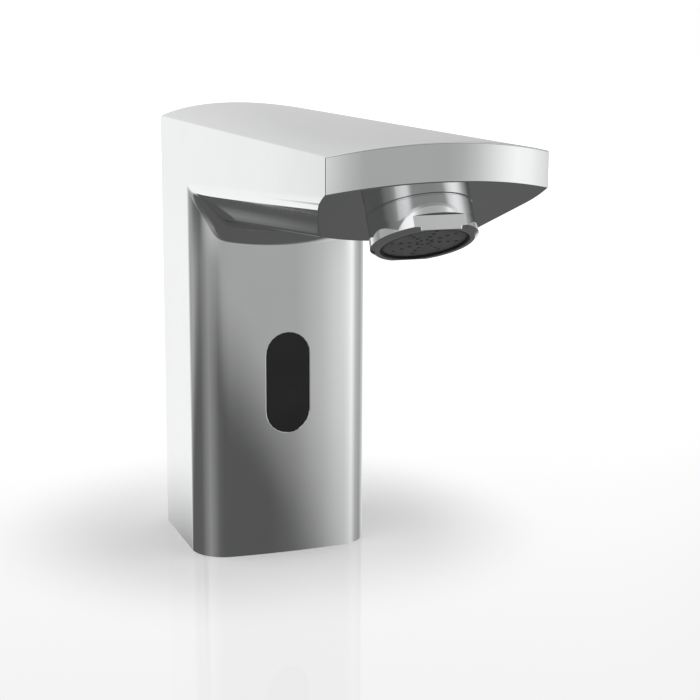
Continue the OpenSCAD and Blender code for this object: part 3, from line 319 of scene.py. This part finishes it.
# Slanted face with the hole that the outlet's housing stands in
outlet_back, hole_r, hole_wall, hole_steps = 12.8, 12.1, 2.5, 32
outlet = np.array([0, nose_y + outlet_back, nose_z - outlet_back * math.tan(nose_tilt)])
slope = np.array([0, -math.cos(nose_tilt), math.sin(nose_tilt)])
hole = [outlet + hole_r * (math.sin(a) * across - math.cos(a) * slope)
        for a in (math.pi * k / hole_steps for k in range(hole_steps + 1))]
outer = [c + edge_r * slant for c in lip_edge + keel_ends]
body.face(outer + hole, [slant] * (len(outer) + len(hole)))
body.sheet([[p, p - hole_wall * slant] for p in hole], [[unit(outlet - p)] * 2 for p in hole])

# Foot: a rim with the groove of the deck seal, and the wall's inner face
groove_out, groove_in, groove_deep, wall, wall_top, round_steps = 1.18, 2.82, 1.5, 4, 24, 4
foot = [(p * ground, n) for p, n in columns]
for k in range(round_steps + 1):
    rounded = turn(across, back_normals[-1], k / round_steps)
    foot.append((rear * ground + edge_r * rounded, rounded))
foot += [(c + edge_r * n, n) for c, n in reversed(list(zip(rear_foot, back_normals)))]


def foot_ring(inset, z):
    """The foot's outline, moved inwards by inset, at height z."""
    ring = []
    for p, n in foot:
        q = p - inset * n
        limit = half - inset
        if q[0] > limit + 1e-6 or (n[1] > 0 and q[0] > limit - 1e-6):
            q = np.array([limit, back_y(limit, inset), 0])
        ring.append(np.array([q[0], q[1], z]))
    return ring


# Each step: inset, height, and whether the strip that ends there faces down, in or out
steps = [(0, 0, 0), (groove_out, 0, 0), (groove_out, groove_deep, -1), (groove_in, groove_deep, 0),
         (groove_in, 0, 1), (wall, 0, 0), (wall, wall_top, -1)]
for (first_inset, first_z, _), (inset, z, outward) in zip(steps, steps[1:]):
    body.sheet([[p, q] for p, q in zip(foot_ring(first_inset, first_z), foot_ring(inset, z))],
               [[outward * n if outward else down] * 2 for p, n in foot])

shell = body.build("body_shell")


class Wire:
    """An output socket in a node tree. Arithmetic on it adds the nodes it needs."""

    def __init__(self, tree, socket):
        self.tree, self.socket = tree, socket

    def node(self, kind, plugs, pick=0, **settings):
        """Adds a node of a kind, with settings and plugs by name or number, and gives one output."""
        made = self.tree.nodes.new("ShaderNode" + kind)
        for name, value in settings.items():
            setattr(made, name, value)
        for place, value in plugs.items():
            if isinstance(value, Wire):
                self.tree.links.new(value.socket, made.inputs[place])
            else:
                made.inputs[place].default_value = value
        return Wire(self.tree, made.outputs[pick])

    def end(self, kind):
        made = self.tree.nodes.new("ShaderNode" + kind)
        self.tree.links.new(self.socket, made.inputs[0])

    def math(self, operation, *values):
        kind = "VectorMath" if self.socket.type == "VECTOR" else "Math"
        return self.node(kind, dict(enumerate(values)), operation=operation)

    def __add__(self, other):
        return self.math("ADD", self, other)

    def __radd__(self, other):
        return self.math("ADD", other, self)

    def __sub__(self, other):
        return self.math("SUBTRACT", self, other)

    def __rsub__(self, other):
        return self.math("SUBTRACT", other, self)

    def __mul__(self, other):
        return self.math("MULTIPLY", self, other)

    def __rmul__(self, other):
        return self.math("MULTIPLY", other, self)

    def __truediv__(self, other):
        return self.math("DIVIDE", self, other)

    def __rtruediv__(self, other):
        return self.math("DIVIDE", other, self)

    def axis(self, name):
        return self.node("SeparateXYZ", {0: self}, pick=name)

    def ramp(self, *stops):
        """Grey or colour stops (place from 0 to 1, value)."""
        made = self.tree.nodes.new("ShaderNodeValToRGB")
        bar = made.color_ramp
        while len(bar.elements) < len(stops):
            bar.elements.new(0.5)
        for element, (place, value) in zip(bar.elements, stops):
            element.position = place
            element.color = (value, value, value, 1) if isinstance(value, float) else (*value, 1)
        self.tree.links.new(self.socket, made.inputs[0])
        return Wire(self.tree, made.outputs[0])

    def clouded(self, dark, light):
        """A tone that drifts between two colours as a noise does."""
        return self.ramp((0.3, dark), (0.7, light))

    def between(self, low, high):
        """0 below low, 1 above high, smooth on the way."""
        return self.node("MapRange", {0: self, 1: low, 2: high}, interpolation_type="SMOOTHSTEP")

    def mix(self, first, second):
        """The colour first where this is 0, and second where it is 1."""
        return self.node("Mix", {0: self, 6: first, 7: second}, pick=2, data_type="RGBA")


def new_look(name):
    """A material and the wire that carries the piece's own coordinates in metres."""
    look = bpy.data.materials.new(name)
    look.use_nodes = True
    look.node_tree.nodes.clear()
    place = look.node_tree.nodes.new("ShaderNodeTexCoord")
    return look, Wire(look.node_tree, place.outputs["Object"])


def close_look(place, **plugs):
    """Ends a material in one surface, with its sockets given in small letters."""
    named = {"IOR" if key == "ior" else key.replace("_", " ").title(): value
             for key, value in plugs.items()}
    place.node("BsdfPrincipled", named).end("OutputMaterial")


chrome, place = new_look("chrome_shell")
haze = place.node("TexNoise", {"Vector": place, "Scale": 60.0, "Detail": 3.0})
close_look(place, metallic=1.0, base_color=haze.clouded((0.80, 0.805, 0.81), (0.82, 0.825, 0.83)),
           roughness=haze * 0.02 + 0.035)
shell.data.materials.append(chrome)
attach(shell, "housing")
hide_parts("body")

# Outlet's housing
# A chromed shell screwed square into the slanted face. A low collar with six rounded
# rises widens it towards the rim, and a spanner flat is cut into the collar in front
# and behind. Heights are measured from the rim towards the body.
housing_r, housing_h, collar_r, collar_lean, edge_h = 13.75, 8.9, 14.05, 0.055, 0.9
rim_r, seat_r, thread_r, thread_top, bore_r = 11.65, 12.9, 12.0, 14.3, 9.1
flat_off, flat_end, flat_h, shoulder_h, seam = 12.0, 31.0, 3.8, 7.3, 0.25
tall_rise, low_rise = (6.15, 3.4, 38), (4.65, 1.3, 21)
rise_turn, rise_bend, valley_h, seam_gap, seat_gap = -9.5, 2.6, 3.5, 0.1, 0.4
rim_centre = outlet + housing_h * slant


def radial(angle):
    return math.sin(math.radians(angle)) * across + math.cos(math.radians(angle)) * slope


def from_flat(angle):
    """Degrees from the middle of the nearer spanner flat."""
    return (angle + 90) % 180 - 90


def collar_top(angle, on_flat):
    """Height of the collar's upper edge. A rise has a peak, a fall and a half width in degrees."""
    top = valley_h
    for k in range(6):
        away = abs((angle - rise_turn - 60 * k + 180) % 360 - 180)
        peak, fall, spread = tall_rise if k % 3 == 0 else low_rise
        top = max(top, peak - fall * (away / spread) ** rise_bend)
    return max(top, flat_h) if on_flat else top


def collar_out(height):
    return max(housing_r + 0.01, collar_r - collar_lean * (height - edge_h))


def shell_point(angle, radius, height):
    return rim_centre + radius * radial(angle) - height * slant


# How far the shading of the collar, the flats and their ledges leans off the true surface
collar_dip, flat_dip, flat_side, ledge_tip = -0.045, 0.248, 0.394, 0.2


def housing_strips(angle, on_flat):
    """Pairs of (radius, height) up the shell at one angle, with the normal of each strip."""
    out, top = radial(angle), collar_top(angle, on_flat)
    polished = unit(out + collar_dip * slant)
    cut = flat_off / math.cos(math.radians(from_flat(angle))) if on_flat else collar_r
    seat, lowest, highest = (min(seat_r, cut), 0), (min(collar_r, cut), edge_h), (collar_out(top), top)
    strips = [((rim_r, 0), seat, slant)]
    if on_flat:
        straight = radial(angle - from_flat(angle))
        milled = unit(straight + flat_side * across + flat_dip * slant)
        inner, ledge = (min(cut, collar_out(flat_h)), flat_h), (collar_out(flat_h), flat_h)
        strips += [(seat, lowest, unit(out + slant) if cut > seat_r + seat_gap else milled),
                   (lowest, inner, milled), (inner, ledge, unit(slant + ledge_tip * straight)),
                   (ledge, highest, polished)]
    else:
        strips += [(seat, lowest, unit(out + slant)), (lowest, highest, polished)]
    seam_low, seam_in = housing_h - seam - seam_gap, housing_r - seam
    path = [highest, (housing_r, top), (housing_r, seam_low), (seam_in, seam_low + seam),
            (seam_in, housing_h), (thread_r, housing_h), (thread_r, thread_top), (bore_r, thread_top),
            (bore_r, shoulder_h), (rim_r, shoulder_h), (rim_r, 0)]
    facing = [-slant, out, unit(out - slant), out, -slant, out, -slant, -out, slant, -out]
    return strips + list(zip(path, path[1:], facing))


housing = Skin()
stations = sorted({*range(-180, 180, 2), -flat_end, flat_end, 180 - flat_end, flat_end - 180})
for first, second in zip(stations, stations[1:] + [stations[0] + 360]):
    on_flat = abs(from_flat((first + second) / 2)) < flat_end
    for left, right in zip(housing_strips(first, on_flat), housing_strips(second, on_flat)):
        housing.face([shell_point(first, *left[0]), shell_point(first, *left[1]),
                      shell_point(second, *right[1]), shell_point(second, *right[0])],
                     [left[2], left[2], right[2], right[2]])
for centre in (0, 180):
    for hand in (-1, 1):
        angle = centre + hand * flat_end
        top = collar_top(angle, False)
        if top > flat_h:
            continue
        notch = [(collar_out(flat_h), flat_h), (housing_r, flat_h), (housing_r, top),
                 (collar_out(top), top)]
        housing.face([shell_point(angle, *at) for at in notch], [hand * radial(angle + 90)] * 4)
housing_shell = housing.build("housing_shell", mirror=False)
steel, place = new_look("chrome_turned")
haze = place.node("TexNoise", {"Vector": place, "Scale": 90.0, "Detail": 2.0})
close_look(place, metallic=1.0, base_color=haze.clouded((0.78, 0.785, 0.79), (0.80, 0.805, 0.81)),
           roughness=haze * 0.03 + 0.04)
housing_shell.data.materials.append(steel)
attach(housing_shell, "housing")
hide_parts("aerator_housing")


# Spray ring and disc
# A black ring inside the housing's rim holds the dark grey disc with the spray holes.
# Both are moulded, and their shapes come from the frame.
def dress(look, *names):
    """Puts a material on nodes that are shown as they come from the frame."""
    for name in names:
        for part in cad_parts[name].material_slots:
            part.material = look


ring_look, place = new_look("moulded_ring")
haze = place.node("TexNoise", {"Vector": place, "Scale": 300.0})
close_look(place, base_color=haze.clouded((0.004, 0.004, 0.005), (0.008, 0.008, 0.009)),
           roughness=haze * 0.1 + 0.3)
dress(ring_look, "spray_ring")
disc_look, place = new_look("spray_disc")
haze = place.node("TexNoise", {"Vector": place, "Scale": 400.0})
close_look(place, base_color=haze.clouded((0.062, 0.063, 0.066), (0.082, 0.083, 0.086)),
           roughness=haze * 0.1 + 0.45)
dress(disc_look, "spray_face")

# Sensor window
# A slip of black plastic with full round ends that infrared light passes through,
# set a little behind the column's face.
window_look, place = new_look("window_plastic")
haze = place.node("TexNoise", {"Vector": place, "Scale": 80.0})
close_look(place, base_color=haze.clouded((0.006, 0.006, 0.007), (0.009, 0.009, 0.010)),
           roughness=haze * 0.02 + 0.03, ior=1.44)
dress(window_look, "sensor_window")

# Machined brass
# The foot's plate, the fitting for the hose, the valve's block and the piece that
# the outlet screws into, all with the fine rings that a turning tool leaves.
brass, place = new_look("machined_brass")
rings = place.node("TexNoise", {"Vector": place * (1.0, 1.0, 12.0), "Scale": 700.0, "Detail": 2.0})
tint = place.node("TexNoise", {"Vector": place, "Scale": 120.0})
bump = place.node("Bump", {"Height": rings, "Strength": 0.06, "Distance": 0.0002})
close_look(place, metallic=1.0, base_color=tint.clouded((0.70, 0.50, 0.22), (0.80, 0.60, 0.30)),
           roughness=rings * 0.2 + 0.22, normal=bump)
dress(brass, "base_plate", "inlet_fitting", "valve_block", "spout_adapter")

# Rubber
# The seal on the deck, the rings and gaskets and the valve's membrane, all moulded in
# black rubber that is a little dusty.
rubber, place = new_look("seal_rubber")
dust = place.node("TexNoise", {"Vector": place, "Scale": 500.0, "Detail": 3.0})
close_look(place, base_color=dust.clouded((0.018, 0.018, 0.019), (0.035, 0.035, 0.036)),
           roughness=dust * 0.2 + 0.55)
dress(rubber, "deck_seal", "inlet_o_ring", "diaphragm", "pipe_o_rings", "aerator_seal", "window_gasket")

# Screws
# Small bright steel screws that hold the foot's plate, the valve's bonnet, the sensor's
# bracket, the chassis and the battery's case, brushed a little by the driver.
screw_look, place = new_look("screw_steel")
grain = place.node("TexNoise", {"Vector": place, "Scale": 900.0, "Detail": 2.0})
close_look(place, metallic=1.0, base_color=grain.clouded((0.55, 0.55, 0.56), (0.66, 0.66, 0.67)),
           roughness=grain * 0.15 + 0.22)
dress(screw_look, "base_screws", "bonnet_screws", "bracket_screws", "chassis_screws", "case_screws")

# Springs
# Coils of drawn wire behind the poppet and the plunger, each a copy of its node's mesh in
# its own material. The table also gives each spring's joint, its travel and seat_z, the
# height of its fixed end, but nothing here uses them.
wire_look, place = new_look("spring_wire")
grain = place.node("TexNoise", {"Vector": place, "Scale": 1200.0})
close_look(place, metallic=1.0, base_color=grain.clouded((0.60, 0.60, 0.61), (0.72, 0.72, 0.73)),
           roughness=grain * 0.1 + 0.2)
for name, joint, travel, seat_z in (("check_valve_spring", "check_valve_slide", 0.0025, 0.025),
                                    ("plunger_spring", "plunger_slide", 0.002, 0.07255)):
    coil = bpy.data.objects.new(name + "_coil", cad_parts[name].data.copy())
    bpy.context.scene.collection.objects.link(coil)
    coil.data.materials.clear()
    coil.data.materials.append(wire_look)
    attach(coil, "housing")
    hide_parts(name)
    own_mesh(coil)

# Sheet and turned steel
# The bent sheets that carry coil, sensor and battery are brushed along one way, and
# the valve's steel pieces are turned.
sheet_look, place = new_look("brushed_sheet")
grain = place.node("TexNoise", {"Vector": place * (1.0, 1.0, 0.05), "Scale": 1500.0, "Detail": 3.0})
bump = place.node("Bump", {"Height": grain, "Strength": 0.05, "Distance": 0.0002})
close_look(place, metallic=1.0, base_color=grain.clouded((0.52, 0.53, 0.54), (0.62, 0.63, 0.64)),
           roughness=grain * 0.2 + 0.25, normal=bump)
dress(sheet_look, "chassis", "sensor_bracket", "coil_yoke", "coil_nut")
turned_look, place = new_look("turned_steel")
grain = place.node("TexNoise", {"Vector": place * (0.05, 0.05, 1.0), "Scale": 1800.0, "Detail": 2.0})
close_look(place, metallic=1.0, base_color=grain.clouded((0.44, 0.45, 0.47), (0.54, 0.55, 0.57)),
           roughness=grain * 0.2 + 0.2)
dress(turned_look, "armature_tube", "fixed_core", "plunger", "inlet_filter", "aerator_screen")

# Plastics inside
# White and orange acetal in the check valve, ivory in the diaphragm, black nylon on
# the valve, green in the outlet, dark grey round the sensor and the battery.
for name, dark, light, nodes in (
        ("white_acetal", (0.72, 0.72, 0.69), (0.80, 0.80, 0.77), ("check_valve_seat", "check_valve_guide")),
        ("orange_acetal", (0.62, 0.20, 0.04), (0.74, 0.27, 0.06), ("check_valve_poppet",)),
        ("ivory_plastic", (0.68, 0.62, 0.46), (0.76, 0.71, 0.55), ("diaphragm_plate",)),
        ("black_nylon", (0.012, 0.012, 0.013), (0.024, 0.024, 0.026), ("valve_bonnet", "coil_bobbin")),
        ("green_plastic", (0.16, 0.32, 0.05), (0.22, 0.40, 0.08), ("flow_regulator",)),
        ("sensor_cup", (0.030, 0.030, 0.032), (0.046, 0.046, 0.048), ("sensor_housing",)),
        ("case_plastic", (0.020, 0.021, 0.022), (0.034, 0.035, 0.037), ("battery_case", "battery_cap")),
        ("chip_black", (0.008, 0.008, 0.009), (0.016, 0.016, 0.017), ("ir_receiver", "board_chips"))):
    look, place = new_look(name)
    grain = place.node("TexNoise", {"Vector": place, "Scale": 600.0, "Detail": 2.0})
    bump = place.node("Bump", {"Height": grain, "Strength": 0.04, "Distance": 0.0001})
    close_look(place, base_color=grain.clouded(dark, light), roughness=grain * 0.15 + 0.35, normal=bump)
    dress(look, *nodes)

# Coil and pipe
# Layers of enamelled copper wire on the bobbin, and the drawn copper pipe that takes
# the water from the valve to the outlet.
winding, place = new_look("copper_winding")
turns = place.node("TexWave", {"Vector": place, "Scale": 900.0, "Distortion": 0.4}, pick="Fac",
                   wave_type="BANDS", bands_direction="Z")
bump = place.node("Bump", {"Height": turns, "Strength": 0.5, "Distance": 0.0002})
close_look(place, metallic=1.0, base_color=turns.ramp((0.2, (0.25, 0.07, 0.03)), (0.8, (0.60, 0.24, 0.12))),
           roughness=turns * 0.1 + 0.28, normal=bump)
dress(winding, "coil_winding")
pipe_look, place = new_look("copper_pipe")
bloom = place.node("TexNoise", {"Vector": place, "Scale": 60.0, "Detail": 4.0})
close_look(place, metallic=1.0, base_color=bloom.clouded((0.58, 0.27, 0.16), (0.76, 0.42, 0.28)),
           roughness=bloom * 0.25 + 0.2)
dress(pipe_look, "outlet_pipe")

# Board and eyes
# A lacquered board of woven glass that stands behind the window, and the tinted lens of
# its infrared emitter.
board_look, place = new_look("green_board")
weave = place.node("TexChecker", {"Vector": place, "Scale": 2200.0}, pick="Fac")
close_look(place, base_color=weave.mix((0.012, 0.10, 0.035, 1), (0.016, 0.13, 0.045, 1)),
           roughness=weave * 0.08 + 0.24)
dress(board_look, "sensor_board")
eye_look, place = new_look("emitter_lens")
clouds = place.node("TexNoise", {"Vector": place, "Scale": 200.0})
close_look(place, base_color=clouds.clouded((0.07, 0.09, 0.19), (0.11, 0.13, 0.25)),
           roughness=clouds * 0.05 + 0.06)
dress(eye_look, "ir_emitter")

# Battery and leads
# A battery in a sleeve of two tones that meet near its top, gold-plated contacts and
# two soft leads.
sleeve, place = new_look("battery_sleeve")
band = place.axis("Z").between(0.112, 0.1125)
grain = place.node("TexNoise", {"Vector": place, "Scale": 150.0})
close_look(place, base_color=band.mix((0.02, 0.055, 0.22, 1), (0.38, 0.39, 0.40, 1)),
           roughness=grain * 0.1 + 0.25)
dress(sleeve, "battery")
gold, place = new_look("gold_contact")
grain = place.node("TexNoise", {"Vector": place, "Scale": 800.0})
close_look(place, metallic=1.0, base_color=grain.clouded((0.78, 0.56, 0.20), (0.86, 0.66, 0.28)),
           roughness=grain * 0.1 + 0.18)
dress(gold, "battery_contacts")
for name, dark, light, node in (
        ("red_cable", (0.34, 0.012, 0.012), (0.44, 0.02, 0.018), "battery_lead"),
        ("blue_cable", (0.018, 0.03, 0.26), (0.026, 0.045, 0.34), "coil_lead")):
    look, place = new_look(name)
    grain = place.node("TexNoise", {"Vector": place, "Scale": 700.0})
    close_look(place, base_color=grain.clouded(dark, light), roughness=grain * 0.15 + 0.4)
    dress(look, node)

# Table
# A glossy white table. Near the foot it takes the tap's shadow, and further out it is
# paper that glows white by itself. Both carry a painted shade that is darkest in front of
# the tap and fades to full white behind it. The chrome looks through it at the room's floor.
table_half = 6.0
table_mesh = bpy.data.meshes.new("table")
table_mesh.from_pydata([(-table_half, -table_half, 0), (table_half, -table_half, 0),
                        (table_half, table_half, 0), (-table_half, table_half, 0)], [], [(0, 1, 2, 3)])
table = bpy.data.objects.new("table", table_mesh)
bpy.context.scene.collection.objects.link(table)
table_look, place = new_look("table_top")
mirrored = place.node("LightPath", {}, pick="Is Glossy Ray")
grain = place.node("TexNoise", {"Vector": place, "Scale": 40.0})
# Painted shade: a ramp darkens the table's white in front of the tap and fades to full white behind it
away = place.axis("X") * 0.35 + place.axis("Y") * 0.94
painted_shade_ramp = away.between(-0.05, 0.45).ramp((0.0, 0.893), (1.0, 1.0))
white = grain.clouded(0.94, 0.95) * painted_shade_ramp
near = place.node("BsdfPrincipled", {"Base Color": white, "Roughness": 0.05, "IOR": 1.33})
paper = place.node("BsdfPrincipled", {"Base Color": (0, 0, 0, 1), "Roughness": 0.05, "IOR": 1.33,
                                      "Emission Color": painted_shade_ramp, "Emission Strength": 0.93})
spread = place.node("VectorMath", {0: place}, pick="Value", operation="LENGTH")
seen = place.node("MixShader", {0: spread.between(0.05, 0.105), 1: near, 2: paper})
clear = place.node("BsdfTransparent", {})
place.node("MixShader", {0: mirrored, 1: seen, 2: clear}).end("OutputMaterial")
table_mesh.materials.append(table_look)

# Room
# The chrome sees a room of light, whose tone goes by bearing and height: grey in front,
# white cards to the right and behind, and a dark floor whose near edge runs below the
# horizon. Everything else gets light from the sides, and the background is white.
room = bpy.data.worlds.new("room")
bpy.context.scene.world = room
room.use_nodes = True
room.node_tree.nodes.clear()
way = Wire(room.node_tree, room.node_tree.nodes.new("ShaderNodeTexCoord").outputs["Generated"])
bearing = way.axis("X").math("ARCTAN2", way.axis("X"), way.axis("Y") * -1.0) / (2 * math.pi) + 0.5
height = way.axis("Z")


def round_room(*stops):
    """A ramp by bearing in degrees: 0 in front of the tap, 90 to its right."""
    return bearing.ramp(*[((angle + 180) / 360, level) for angle, level in stops])


def sine(angle):
    return math.sin(math.radians(angle))


# Upper room: the wall up to a cornice and the ceiling over it. The cornice's height is
# raised by cornice_lift, because a ramp holds no value below 0.
cornice_lift, cornice_soft = 0.2, 0.012
wall_tone = round_room(
    (-180, 0.80), (-150, 0.80), (-138, 0.30), (-124, 0.10), (-110, 0.09), (-96, 0.105), (-88, 0.12),
    (-82, 0.17), (-77, 0.44), (-72, 0.66), (-66, 0.70), (-56, 0.60), (-48, 0.52), (-38, 0.40), (-29, 0.33),
    (-8, 0.31), (14, 0.32), (34, 0.35), (44, 0.37), (53, 0.40), (62, 0.50), (70, 0.62), (85, 0.62),
    (99, 0.46), (113, 0.32), (127, 0.30), (142, 0.50), (160, 0.80), (180, 0.80))
ceiling_tone = round_room(
    (-180, 0.80), (-150, 0.60), (-140, 0.50), (-112, 0.44), (-98, 0.44), (-90, 0.58), (-84, 0.78),
    (-76, 1.02), (-68, 1.12), (-50, 1.14), (-44, 0.95), (-38, 0.72), (-31, 0.58), (-20, 0.49), (-8, 0.47),
    (16, 0.47), (30, 0.52), (38, 0.55), (44, 0.64), (50, 0.86), (56, 1.0), (62, 0.96), (73, 0.76),
    (88, 0.67), (102, 0.46), (116, 0.40), (129, 0.28), (145, 0.50), (160, 0.80), (180, 0.80))
cornice = round_room(*[(angle, level + cornice_lift) for angle, level in (
    (-180, -0.16), (-150, -0.078), (-131, 0.03), (-113, 0.175), (-96, 0.328), (-77, 0.475),
    (-57, 0.60), (-34, 0.685), (-8, 0.723), (6, 0.723), (32, 0.687), (55, 0.60), (75, 0.478),
    (94, 0.327), (112, 0.168), (129, 0.027), (150, -0.09), (180, -0.16))])
over_cornice = (height - cornice).between(-cornice_lift - cornice_soft, cornice_soft - cornice_lift)
upper = over_cornice.mix(wall_tone, ceiling_tone)

# Cards about the horizon: the upper one for the spout's band, the lower for the column
band_card = round_room(
    (-180, 1.05), (-163, 1.0), (-150, 0.50), (-118, 0.10), (-90, 0.10), (-75, 0.50), (-50, 0.90),
    (-33, 0.90), (-26, 0.74), (-19, 0.57), (-12, 0.45), (22, 0.44), (29, 0.485), (36, 0.62), (42, 0.79),
    (49, 0.98), (56, 1.11), (63, 1.09), (70, 0.93), (84, 0.60), (105, 0.28), (133, 0.60), (153, 0.57),
    (163, 0.65), (171, 0.82), (180, 1.05))
column_card = round_room(
    (-180, 1.05), (-164, 1.03), (-159, 0.92), (-152, 0.56), (-146, 0.42), (-129, 0.43), (-113, 0.32),
    (-97, 0.218), (-81, 0.275), (-65, 0.375), (-33, 0.344), (-16, 0.415), (7, 0.435), (20, 0.435),
    (25, 0.56), (29, 0.76), (36, 0.83), (48, 0.91), (64, 1.10), (72, 0.92), (84, 0.59), (109, 0.43),
    (133, 0.68), (153, 0.88), (180, 1.05))
cards = height.between(-0.158, -0.096).mix(column_card, band_card)

# Floor, with the tilt in degrees at which its edge is seen and how soft the edge is
floor_near = round_room(
    (-180, 0.095), (-146, 0.12), (-113, 0.12), (-97, 0.127), (-81, 0.22), (-65, 0.30), (-49, 0.22),
    (-33, 0.13), (-16, 0.106), (14, 0.105), (29, 0.20), (64, 0.30), (84, 0.20), (110, 0.12), (155, 0.14),
    (167, 0.30), (172, 0.27), (175, 0.14), (178, 0.10), (180, 0.095))
floor_deep = round_room((-180, 0.105), (110, 0.11), (140, 0.115), (148, 0.115), (152, 0.108), (158, 0.10),
                        (180, 0.105))
floor = height.between(-0.33, -0.45).mix(floor_near, floor_deep)
edge_lift = 0.5
floor_edge = round_room(*[(angle, edge_lift + sine(tilt)) for angle, tilt in (
    (-180, -18.5), (-178.9, -18.6), (-178.3, -25), (-169.5, -25), (-167.5, -18.1), (-165.2, -17.9),
    (-163.5, -21), (-161, -18), (-146, -15.5), (-129, -13), (-113, -11.3), (-97, -10.5), (-33, -10.7),
    (-16, -11.8), (7, -12.6), (11, -13.6), (14, -14.5), (18, -15.3), (25, -18.0), (30, -20.3),
    (110, -20.8), (160, -20), (180, -18.5))])
softness = round_room((-180, 0.012), (-169.5, 0.012), (-167.5, 0.045), (14, 0.05), (24, 0.08), (32, 0.18),
                      (100, 0.18), (130, 0.05), (178, 0.045), (180, 0.012))
lower = (height - floor_edge).between(-edge_lift - softness, softness - edge_lift).mix(floor, cards)

# The wall behind is plain, and so is the ceiling straight above
plain_tone, top_tone = (0.80, 0.80, 0.80, 1), (0.62, 0.62, 0.62, 1)
behind = round_room((-180, 1.0), (-150, 1.0), (-142, 0.0), (142, 0.0), (150, 1.0), (180, 1.0))
risen = behind.mix(height.between(0.02, 0.08).mix(lower, upper),
                   height.between(0.14, 0.34).mix(lower, plain_tone))
risen = height.between(0.93, 0.99).mix(risen, top_tone)
studio = height.between(0.0, 0.02).mix(lower, risen)
glossy = way.node("LightPath", {}, pick="Is Glossy Ray")
reflected = way.node("Background", {"Color": studio, "Strength": 1.0})
sides = way.axis("X").math("ABSOLUTE", way.axis("X")) * 2.0 + 0.2
side_light = way.node("Background", {"Color": sides, "Strength": 1.0})
backdrop = way.node("Background", {"Color": (1, 1, 1, 1), "Strength": 1.0})
direct = way.node("MixShader", {0: way.node("LightPath", {}, pick="Is Camera Ray"), 1: side_light,
                                2: backdrop})
way.node("MixShader", {0: glossy, 1: direct, 2: reflected}).end("OutputWorld")

# Camera
# A long lens in front of the tap, to its left and a little above. Its place and turn
# come from a fit to the tap's own edges.
yaw, pitch, roll = math.radians(20.272), math.radians(11.895), math.radians(0.29)
eye_at = (-0.155951, -0.511686, 0.175618)
ahead = Vector((math.sin(yaw) * math.cos(pitch), math.cos(yaw) * math.cos(pitch), -math.sin(pitch)))
level = Vector((math.cos(yaw), -math.sin(yaw), 0))
above = level.cross(ahead)
right = level * math.cos(roll) + above * math.sin(roll)
above = above * math.cos(roll) - level * math.sin(roll)
eye_data = bpy.data.cameras.new("eye")
eye_data.sensor_width, eye_data.lens = 36.0, 81.14
eye = bpy.data.objects.new("eye", eye_data)
eye.matrix_world = Matrix.Translation(eye_at) @ Matrix((right, above, -ahead)).transposed().to_4x4()
bpy.context.scene.collection.objects.link(eye)
bpy.context.scene.camera = eye
bpy.context.scene.view_settings.view_transform = "Standard"
